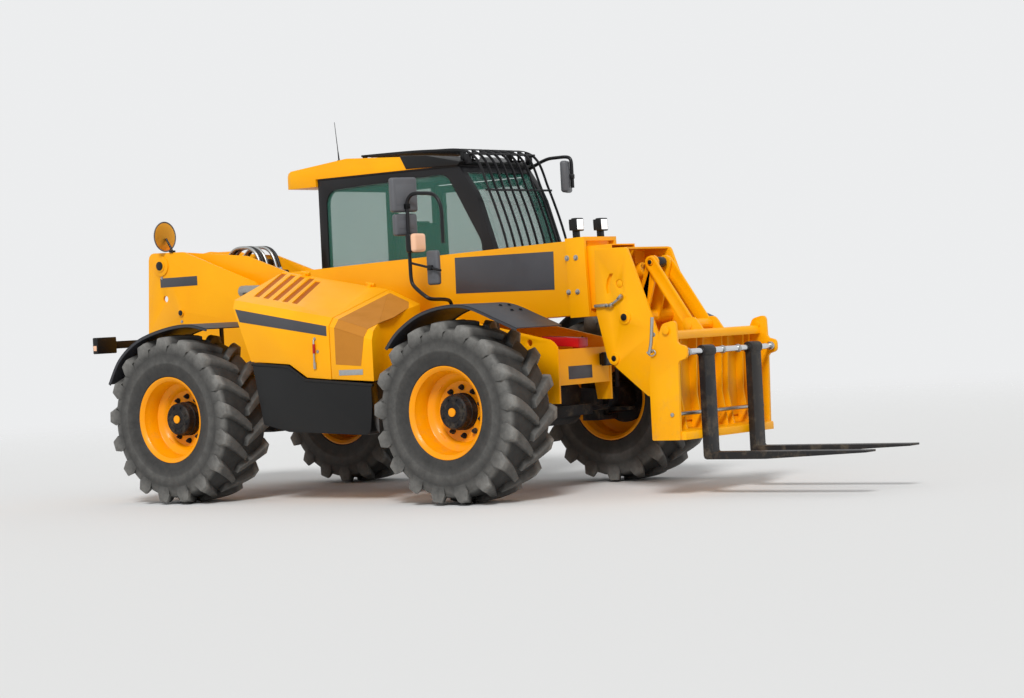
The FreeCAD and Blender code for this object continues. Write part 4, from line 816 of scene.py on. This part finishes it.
# Rams: round barrels with welded glands and plated rods
rams = {
    "lift": {
        "base": (-2.15, 0, 0.9), "way": (1.37, 0, 0.15), "barrel": 1.2, "length": 1.378187, "case": 0.075,
        "rod": 0.045, "eyeHalf": 0.042, "from": 0.13, "bodies": ("lift_case", "lift_piston"),
    },
    "tilt": {
        "base": (1.9, 0, 1.45), "way": (0.53, 0, 0.19), "barrel": 0.43, "length": 0.563027, "case": 0.052,
        "rod": 0.03, "eyeHalf": 0.044, "from": 0.118, "bodies": ("tilt_case", "tilt_piston"),
    },
}
for name, ram in rams.items():
    base, way = Vector(ram["base"]), Vector(ram["way"]).normalized()
    end = base + way * ram["length"]
    r = ram["case"]
    gland = base + way * ram["barrel"]
    case = [
        across(base.x, base.z, -ram["eyeHalf"], ram["eyeHalf"], r * 0.85, 40, 0.003),
        rod(base, base + way * r * 1.3, ram["eyeHalf"] * 0.95, 32), rod(base + way * r * 1.2, gland, r, 48, 0.004),
        rod(gland - way * 0.06, gland, r + 0.004, 48, 0.003),
        rod(gland - way * 0.09, gland - way * 0.075, r + 0.002, 48, 0.002),
    ]
    for step in (0.1, ram["barrel"] - 0.12):
        port = base + way * (r * 1.2 + step)
        case.append(rod(port + Vector((0, 0, r * 0.7)), port + Vector((0, 0, r + 0.014)), 0.014, 6, 0.001))
    makePiece(name + "Barrel", case, ram["bodies"][0], "yellowEnamel", 34, instead=[name + "_barrel"])
    shaft = [rod(base + way * ram["from"], end - way * ram["rod"], ram["rod"], 48, 0.002)]
    makePiece(name + "Rod", shaft, ram["bodies"][1], "chromePlate", 34, instead=[name + "_rod"])
    eye = [across(end.x, end.z, -ram["eyeHalf"], ram["eyeHalf"], ram["rod"] * 1.25, 40, 0.003)]
    eye += [rod(end - way * ram["rod"] * 1.35, end - way * ram["rod"] * 0.9, ram["rod"] * 1.06, 32, 0.002)]
    makePiece(name + "RodEye", eye, ram["bodies"][1], "blackEnamel", 34)
bar = [across(2.99, 1.0, -0.565, 0.565, 0.022, 32, 0.002)]
makePiece("forkShaft", bar, "carriage_frame", "chromePlate", 34, instead=["fork_bar"])
print("rams made")


# Pipes over the root of the boom, with their cross bars and reel
pipes = {"rows": (-0.12, -0.08, -0.04, 0.06, 0.10), "radius": 0.013}
line = [
    (-1.76, 1.85), (-1.735, 1.885), (-1.70, 1.93), (-1.65, 1.972), (-1.59, 1.985), (-1.49, 1.982), (-1.43, 1.955),
    (-1.375, 1.89), (-1.345, 1.759),
]
silver = [tube([(x, y, z) for x, z in line], pipes["radius"]) for y in pipes["rows"][:1] + pipes["rows"][2:4]]
dark = [tube([(x, y, z) for x, z in line], pipes["radius"]) for y in pipes["rows"][1:2] + pipes["rows"][4:]]
makePiece("rootPipesBright", silver, "boom", "zincPlate", 50, instead=["boom_pipes"])
dark += [raised(across(x, z, -0.163, 0.163, 0.02, 24)) for x, z in ((-1.78, 1.85), (-1.34, 1.745))]
for y0, y1, r in ((-0.163, 0.163, 0.038), (-0.1, -0.08, 0.045), (0.08, 0.1, 0.045)):
    dark.append(raised(across(-1.52, 1.83, y0, y1, r, 40, 0.003)))
makePiece("rootPipesDark", dark, "boom", "hoseRubber", 50)
unions = []
for y in pipes["rows"]:
    unions += [
        rod((-1.722, y, 1.902), (-1.705, y, 1.924), 0.019, 6, 0.001),
        rod((-1.357, y, 1.81), (-1.35, y, 1.78), 0.019, 6, 0.001),
    ]
makePiece("pipeUnions", unions, "boom", "zincPlate")
print("pipes made")


# Mirrors on their tubes
tubeSize = 0.014
mast = [
    (0.9, -0.33, 1.24), (0.9, -0.43, 1.24), (0.9, -0.48, 1.3), (0.905, -0.495, 1.44), (0.93, -0.58, 1.462),
    (0.985, -0.81, 1.464),
]
mast += [(x, -0.85, z) for x, z in (
    (0.97, 1.475), (0.845, 1.565), (0.825, 1.615), (0.825, 1.7), (0.825, 2.1), (0.825, 2.175), (0.845, 2.215),
    (0.89, 2.24), (1.0, 2.233), (1.06, 2.226), (1.11, 2.2), (1.148, 2.12), (1.146, 2.0), (1.144, 1.862),
)]
leftArm = [(0.4, 1.12, 2.47), (0.4, 1.145, 2.47)]
leftArm += [(x, 1.16, z) for x, z in (
    (0.41, 2.474), (0.6, 2.548), (0.7, 2.55), (0.82, 2.55), (0.85, 2.52), (0.85, 2.45), (0.85, 2.3),
)]
stalk = [(-2.15, -0.325, 1.998), (-2.165, -0.326, 2.03), (-2.2, -0.329, 2.085), (-2.2073, -0.33, 2.1)]
parts = [tube(mast, tubeSize), tube(leftArm, tubeSize), rod((0.837, -0.85, 1.735), (1.11, -0.85, 1.668), 0.009)]
parts += [tube(stalk, 0.009), block((-2.17, -0.345, 1.984), (-2.13, -0.305, 2.0), 0.003)]


def turnedTo(at, facing, parts):
    # Parts made with their back to the tube at the origin and their face along +Y, turned to face a way in plan
    return gather(parts, Matrix.Translation(at) @ Matrix.Rotation(math.radians(facing - 90), 4, "Z"))


heads = [
    {"at": (0.825, -0.85, 2.15), "facing": 160, "wide": 0.215, "low": -0.04, "high": 0.2125, "deep": 0.06},
    {"at": (0.825, -0.85, 2.15), "facing": 160, "wide": 0.19, "low": -0.2125, "high": -0.052, "deep": 0.055},
    {"at": (1.012, -0.85, 1.692), "facing": 90, "wide": 0.11, "low": -0.125, "high": 0.125, "deep": 0.046},
    {"at": (0.85, 1.16, 2.39), "facing": 205, "wide": 0.18, "low": -0.125, "high": 0.125, "deep": 0.06},
]
shells, panes = [], []
for head in heads:
    half, low, high = head["wide"] / 2, head["low"], head["high"]
    back, face = 0.0183, 0.0183 + head["deep"]
    made = [
        block((-half, back, low), (half, face, high), 0.02, 4),
        block((-half + 0.03, back - 0.002, low + 0.05), (half - 0.03, back + 0.01, high - 0.05), 0.002),
    ]
    glass = [block((-half + 0.014, face - 0.004, low + 0.014), (half - 0.014, face + 0.0008, high - 0.014), 0.002)]
    clamp = [block((-0.018, -0.018, -0.018), (0.018, 0.018, 0.018), 0.004)] + bolt((0.018, 0, 0), (1, 0, 0), 0.006)
    for group, bits in ((shells, made), (panes, glass), (parts, clamp)):
        group.append(turnedTo(head["at"], head["facing"], bits))
parts.append(turnedTo((0.825, -0.85, 1.88), 0, [block((-0.018, -0.018, -0.018), (0.018, 0.018, 0.018), 0.004)]))
makePiece("mirrorTubes", parts, "machine", "blackEnamel", 50, instead=["mirror_arms"])
roundGlass = {"at": (-2.252, -0.33, 2.116), "radius": 0.125, "turn": -90}
toX = Matrix.Translation(roundGlass["at"]) @ Matrix.Rotation(math.radians(roundGlass["turn"]), 4, "Z")
bowl = [
    (0.0, 0.0), (0.0, 0.05), (0.012, 0.10), (0.026, 0.121), (0.034, roundGlass["radius"]), (0.036, 0.123),
    (0.033, 0.118), (0.03, 0.0),
]
shells.append(spun(bowl, 48, toX))
makePiece("mirrorShells", shells, "machine", "mirrorPlastic", 40, instead=["mirrors"])
makePiece("mirrorPanes", panes, "machine", "mirrorGlass")
# The round mirror's amber tint is a painted reflection of yellow paint
makePiece(
    "roundPane",
    [spun([(0.028, 0.0), (0.028, 0.118), (0.032, 0.119), (0.0365, 0.09), (0.039, 0.05), (0.04, 0.0)], 48, toX)],
    "machine", "paintedReflectionMirror", 50,
)
print("mirrors made")


# Lamps: a finned shell and a lens
def lampParts(x, y, z, size, depth):
    half = size / 2

    def slab(x0, x1, wide, tall, width, middle=y, segments=2):
        return block((x + x0, middle - wide, z - tall), (x + x1, middle + wide, z + tall), width, segments)

    shell = [
        slab(-depth * 0.55, 0.006, half, half, 0.008, segments=3),
        slab(-depth, -depth * 0.5, half * 0.62, half * 0.62, 0.004),
    ]
    for i in range(5):
        shell.append(slab(-depth * 0.9, -depth * 0.45, 0.002, half * 0.85, 0.0008, y + (i - 2) * half * 0.36))
    return shell, slab(0.002, 0.008, half * 0.78, half * 0.78, 0.002)


shells, lenses = [], []
for y in (0.338, 0.434, 0.916, 1.012):
    shell, lens = lampParts(0.47, y, 2.577, 0.084, 0.06)
    shells += shell + [block((0.432, y - 0.02, 2.515), (0.448, y + 0.02, 2.58), 0.002)]
    lenses.append(lens)
for side in (-1, 1):
    shells += [
        sided(side, -2.23, -2.2, 0.33, 1.15, 1.225, 1.285, 0.003),
        sided(side, -2.25, -2.195, 0.95, 1.16, 1.19, 1.32, 0.008, 3),
    ]
shell, lens = lampParts(1.784, 0.22, 0.96, 0.1, 0.062)
shells += shell + [block((1.722, 0.2, 0.93), (1.752, 0.24, 0.99), 0.003)]
makePiece("lampShells", shells, "machine", "blackPlastic", 34, instead=["lamps"])
makePiece("roofLenses", lenses, "machine", "lampLens")
makePiece("bumperLens", [lens], "machine", "darkLens")
reds = [sided(side, -2.2525, -2.248, 1.03, 1.15, 1.2, 1.31) for side in (-1, 1)]
ambers = [sided(side, -2.2525, -2.248, 0.962, 1.025, 1.2, 1.31) for side in (-1, 1)]
ambers += [sided(side, -2.24, -2.205, 1.157, 1.163, 1.215, 1.255) for side in (-1, 1)]
makePiece("tailLensRed", reds, "machine", "redLens")
makePiece("tailLensAmber", ambers, "machine", "amberLens")
shells, lenses = [], []
for y in (-0.15, 0.15):
    shell, lens = lampParts(1.855, y, 1.833, 0.095, 0.075)
    shells += [raised(part) for part in shell + [block((1.8, y - 0.02, 1.738), (1.84, y + 0.02, 1.79), 0.002)]]
    lenses.append(raised(lens))
makePiece("workLampShells", shells, "boom", "blackPlastic", 34, instead=["boom_lamps"])
makePiece("workLenses", lenses, "boom", "lampLens")
beacon = [block((0.8433, -0.92, 1.81), (0.9, -0.78, 1.95), 0.018, segments=4)]
makePiece("mastLampShell", beacon, "machine", "blackPlastic", 40)
makePiece(
    "mastLampLens", [block((0.885, -0.917, 1.813), (0.9373, -0.783, 1.947), 0.022, segments=4)], "machine",
    "amberLens", 40,
)
whip = [
    rod((-0.832, 0.3, 2.6276), (-0.832, 0.3, 2.642), 0.016, 24, 0.003),
    rod((-0.832, 0.3, 2.641), (-0.838, 0.3, 2.71), 0.0065, 16, 0.001, 0.0045),
    rod((-0.838, 0.3, 2.709), (-0.86, 0.3, 2.95), 0.0035, 12, 0.0008, 0.0022),
]
makePiece("whipAerial", whip, "machine", "blackPlastic", 40, instead=["antenna"])
print("lamps made")


# Cab: guard, seal under the roof, wheel and handles
guard = {"bars": 9, "line": [(-0.56, 2.66), (0.12, 2.646), (0.54, 2.59), (0.70, 2.30), (0.855, 1.83), (0.83, 1.52)]}
parts = []
for i in range(guard["bars"]):
    y = 0.29 + i * 0.77 / (guard["bars"] - 1)
    parts.append(ribbon(guard["line"], 0.02, y - 0.004, y + 0.004, 0.0015))
for x, z in ((-0.55, 2.65), (0.54, 2.58), (0.69, 2.29), (0.836, 1.828)):
    parts.append(block((x - 0.01, 0.26, z - 0.008), (x + 0.01, 1.09, z + 0.008), 0.003))
feet = ((-0.56, -0.53, 2.606, 2.655), (0.48, 0.53, 2.505, 2.585), (0.765, 0.85, 1.535, 1.565))
for y in (0.29, 1.06):
    parts += [block((x0, y - 0.015, z0), (x1, y + 0.015, z1), 0.002) for x0, x1, z0, z1 in feet]
makePiece("guardBars", parts, "machine", "blackEnamel", 34, instead=["roof_guard"])
sealLine = [
    (-1.0, 0.222), (0.43, 0.222), (0.462, 0.25), (0.462, 1.1), (0.43, 1.128), (-1.0, 1.128), (-1.026, 1.1),
    (-1.026, 0.25),
]
makePiece("roofSeal", [planPlate(sealLine, 2.488, 2.503, 0.004)], "machine", "sealRubber")
visor = [(-0.06, 2.506), (-0.12, 2.615), (0.15, 2.597), (0.49, 2.522), (0.462, 2.494)]
makePiece("roofVisor", [plate(visor, 0.207, 1.143, 0.006)], "machine", "blackPlastic")
steer = {"at": (0.258, 0.675, 1.703), "axis": (-168, 0, 140), "radius": 0.176, "thick": 0.0135}
place = Matrix.Translation(steer["at"]) @ Vector(steer["axis"]).to_track_quat("Y", "Z").to_matrix().to_4x4()
angles = [k * math.tau / 12 for k in range(13)]
grip = [(steer["thick"] * math.sin(a), steer["radius"] + steer["thick"] * math.cos(a)) for a in angles]
parts = [
    spun(grip, 48, place),
    spun([(-0.03, 0.0), (-0.03, 0.03), (0.008, 0.042), (0.014, 0.03), (0.016, 0.0)], 32, place),
]
knob = [rod((0.1, 0.01, 0.143), (0.1, 0.055, 0.143), 0.016, 24, 0.006)]
for k in range(3):
    made = [block((-0.014, -0.006, 0.03), (0.014, 0.006, 0.17), 0.004)]
    parts.append(gather(made, place @ Matrix.Rotation(k * math.tau / 3, 4, "Y")))
parts.append(gather(knob, place))
makePiece("steeringWheel", parts, "machine", "blackPlastic", 40)
handles = [
    block((0.36, 1.118, 1.41), (0.48, 1.135, 1.45), 0.005), block((0.40, 1.12, 1.30), (0.425, 1.15, 1.40), 0.006),
]
makePiece("doorHandle", handles, "door", "blackPlastic")
levers = [
    rod((0.30, 0.52, 1.48), (0.26, 0.46, 1.62), 0.006), rod((-0.08, 0.41, 1.4), (-0.03, 0.41, 1.66), 0.008, 16),
    rod((-0.03, 0.41, 1.64), (-0.02, 0.41, 1.72), 0.02, 24, 0.008),
    block((-0.3, 0.375, 1.36), (0.06, 0.445, 1.42), 0.012, segments=3),
]
makePiece("cabLevers", levers, "machine", "blackPlastic")
print("cab made")


# Seat cushions: cloth over foam, crowned, drawn in between the corners and stitched lengthwise
def makeCushion(name, matrix, size, lines):
    pad = bmesh.new()
    bmesh.ops.create_grid(pad, x_segments=22, y_segments=22, size=1.0)
    bmesh.ops.solidify(pad, geom=pad.faces, thickness=0.5)
    low = min(v.co.z for v in pad.verts)
    high = max(v.co.z for v in pad.verts)
    for v in pad.verts:
        a, b = v.co.x, v.co.y
        top = 1 if v.co.z > (low + high) / 2 else -1
        roundness = (1 - abs(a) ** 5) * (1 - abs(b) ** 5)
        height = top * (0.22 + 0.28 * roundness ** 0.4)
        if top > 0:
            height += 0.16 * (1 - a * a) * (1 - b * b)
            height -= sum(0.12 * math.exp(-((b - line) / 0.05) ** 2) * (1 - a ** 4) for line in lines)
        pull = 1 - 0.025 * (1 - b * b) * abs(a) ** 3
        pullToo = 1 - 0.025 * (1 - a * a) * abs(b) ** 3
        corner = 1 - 0.035 * (a * b) ** 4
        v.co = Vector((a * pull * corner * size[0] / 2, b * pullToo * corner * size[1] / 2, height * size[2]))
    moved(pad, Matrix.Translation(datum) @ matrix)
    bmesh.ops.recalc_face_normals(pad, faces=pad.faces)
    piece = finishPiece(name, pad, "machine", "seatCloth", 60)
    soft = piece.modifiers.new("soft", "SUBSURF")
    soft.levels = 1
    soft.render_levels = 1
    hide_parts("seat_cushion")


makeCushion("seatPad", Matrix.Translation((-0.133, 0.675, 1.412)), (0.455, 0.47, 0.1), (-0.55, 0.55))
backPlace = Matrix.Translation((-0.337, 0.675, 1.795)) @ Matrix.Rotation(math.radians(87.7), 4, "Y")
makeCushion("backPad", backPlace, (0.63, 0.46, 0.095), (-0.55, 0.55))
print("seat made")


# Boom dress: blank panel and collar bolts; pin ends and blank plate on the tower
makePiece(
    "boomPanel", [plate([(0.705, 1.773), (0.700, 1.503), (1.625, 1.487), (1.632, 1.766)], -0.1868, -0.184, 0.0008)],
    "boom", "greyEnamel",
)
studs = []
for x in (1.765, 1.845):
    for z in (1.708, 1.461):
        studs += bolt((x, -0.203, z), (0, -1, 0), 0.014) + bolt((x, 0.203, z), (0, 1, 0), 0.014)
makePiece("collarBolts", studs, "boom", "zincPlate")
caps = pair(-2.28, 1.88, 0.349, 0.357, 0.036) + pair(-2.15, 0.9, 0.343, 0.349, 0.026)
caps += pair(-2.075, 1.486, 0.341, 0.347, 0.022)
makePiece("towerPinEnds", caps, "machine", "blackEnamel")
tower = [block((-2.3, -0.3315, 1.702), (-1.876, -0.329, 1.778), 0.001)]
makePiece("towerPlate", tower, "machine", "greyEnamel")
locks = []
for x, z in ((-2.28, 1.78), (-2.075, 1.415), (-2.15, 0.83)):
    locks += bolt((x, -0.33, z), (0, -1, 0), 0.009)
makePiece("towerBolts", locks, "machine", "zincPlate")
print("boom dressed")


# Head and carriage: pin ends, couplings, handle, collars
ends = pair(2.31, 1.26, 0.3, 0.306, 0.026) + pair(2.62, 0.78, 0.3, 0.306, 0.026)
makePiece("headPinEnds", ends, "inner_boom", "blackEnamel")
disc = [across(2.275, 1.50, -0.284, -0.276, 0.026, 32, 0.002)]
makePiece("headDisc", disc, "inner_boom", "yellowEnamel")
makePiece("headPlugs", pair(2.2, 0.97, 0.288, 0.297, 0.0215, 32, 0.001), "inner_boom", "blackEnamel")
makePiece("leverPinEnds", pair(2.43, 1.64, 0.114, 0.122, 0.0165, 24), "lever", "blackEnamel")
fitting = [
    tube([(2.135, -0.296, 1.352), (2.18, -0.302, 1.348), (2.23, -0.306, 1.36), (2.30, -0.304, 1.412)], 0.009),
    rod((2.06, -0.3, 1.349), (2.15, -0.298, 1.352), 0.013, 6, 0.001),
    rod((2.19, -0.304, 1.345), (2.22, -0.305, 1.356), 0.017, 6, 0.001),
    rod((2.27, -0.305, 1.39), (2.305, -0.304, 1.418), 0.015, 6, 0.001),
    rod((2.17, -0.285, 1.35), (2.17, -0.312, 1.35), 0.014, 20, 0.001),
]
makePiece("headCouplings", fitting, "inner_boom", "zincPlate", 40)
grip = [
    (2.76, -0.602, 1.25), (2.758, -0.604, 1.22), (2.748, -0.604, 1.12), (2.738, -0.604, 1.05), (2.72, -0.604, 1.0),
]
loop = [
    (2.70, -0.6, 1.01), (2.72, -0.603, 0.985), (2.76, -0.603, 0.985), (2.775, -0.6, 1.01), (2.75, -0.6, 1.03),
    (2.70, -0.6, 1.01),
]
grab = [tube(grip, 0.012)]
for x, z in ((2.755, 1.13), (2.73, 1.02)):
    grab += bolt((x, -0.59, z), (0, -1, 0), 0.011)
grab.append(tube(loop, 0.0045))
makePiece("carriageHandle", grab, "carriage_frame", "zincPlate", 40)
collars = [across(2.99, 1.0, y - 0.012, y + 0.012, 0.029, 32, 0.002) for y in (-0.535, -0.1, 0.1, 0.535)]
makePiece("barCollars", collars, "carriage_frame", "zincPlate")
makePiece(
    "earPins", pair(2.866, 1.156, 0.552, 0.61, 0.028, 32, 0.003), "carriage_frame", "yellowEnamel",
)
lockRod = [across(2.88, 0.575, -0.6, 0.6, 0.014, 24, 0.002)]
makePiece("lockRod", lockRod, "carriage_frame", "zincPlate")
print("head and carriage dressed")


# Bumper: blank plate
makePiece(
    "bumperPlate", [block((1.7215, -0.2, 0.83), (1.7245, 0.09, 0.925), 0.001)], "machine",
    "greyEnamel",
)
print("details made")


# Floor and light
stage = {"half": 80, "colour": "#e4e4e3", "fadeFrom": 7.0, "fadeTo": 24.0}
light = {"energy": 2.1, "angle": 14, "way": (-0.45, 0.75, -0.75), "sky": "#f4f5f6", "onObject": 0.62, "seen": 0.93}


def makeStage():
    floorMesh = bmesh.new()
    bmesh.ops.create_grid(floorMesh, x_segments=2, y_segments=2, size=stage["half"])
    mesh = meshOf("floor", floorMesh)
    floor = bpy.data.objects.new("floor", mesh)
    link(floor)
    mat, tree, shader = newMaterial("paleFloor", Roughness=0.95, Specular_IOR_Level=0.1)
    shader.inputs["Base Color"].default_value = colour(stage["colour"])
    # The floor thins out to the backdrop far from the machine, so that no hard horizon shows
    apart = addNode(tree, "VectorMath", {0: objectPlace(tree)}, operation="LENGTH")
    fade = addNode(
        tree, "MapRange", {0: apart.outputs["Value"], 1: stage["fadeFrom"], 2: stage["fadeTo"], 3: 1.0, 4: 0.0},
        interpolation_type="SMOOTHSTEP",
    )
    tree.links.new(fade.outputs[0], shader.inputs["Alpha"])
    mesh.materials.append(mat)


makeStage()
sun = bpy.data.lights.new("keyLight", "SUN")
sun.energy = light["energy"]
sun.angle = math.radians(light["angle"])
key = bpy.data.objects.new("keyLight", sun)
link(key)
key.rotation_euler = Vector(light["way"]).to_track_quat("-Z", "Y").to_euler()
world = bpy.data.worlds.new("studio")
bpy.context.scene.world = world
world.use_nodes = True
tree = world.node_tree
tree.nodes.clear()
path = addNode(tree, "LightPath")
lit = path.outputs["Is Camera Ray"]
for ray in ("Is Glossy Ray", "Is Transmission Ray"):
    lit = addNode(tree, "Math", {0: lit, 1: path.outputs[ray]}, operation="MAXIMUM").outputs[0]
strength = ranged(tree, lit, 0.0, 1.0, light["onObject"], light["seen"])
sky = addNode(tree, "Background", {0: colour(light["sky"]), 1: strength})
addNode(tree, "OutputWorld", {0: sky.outputs[0]})
print("stage and lights set")
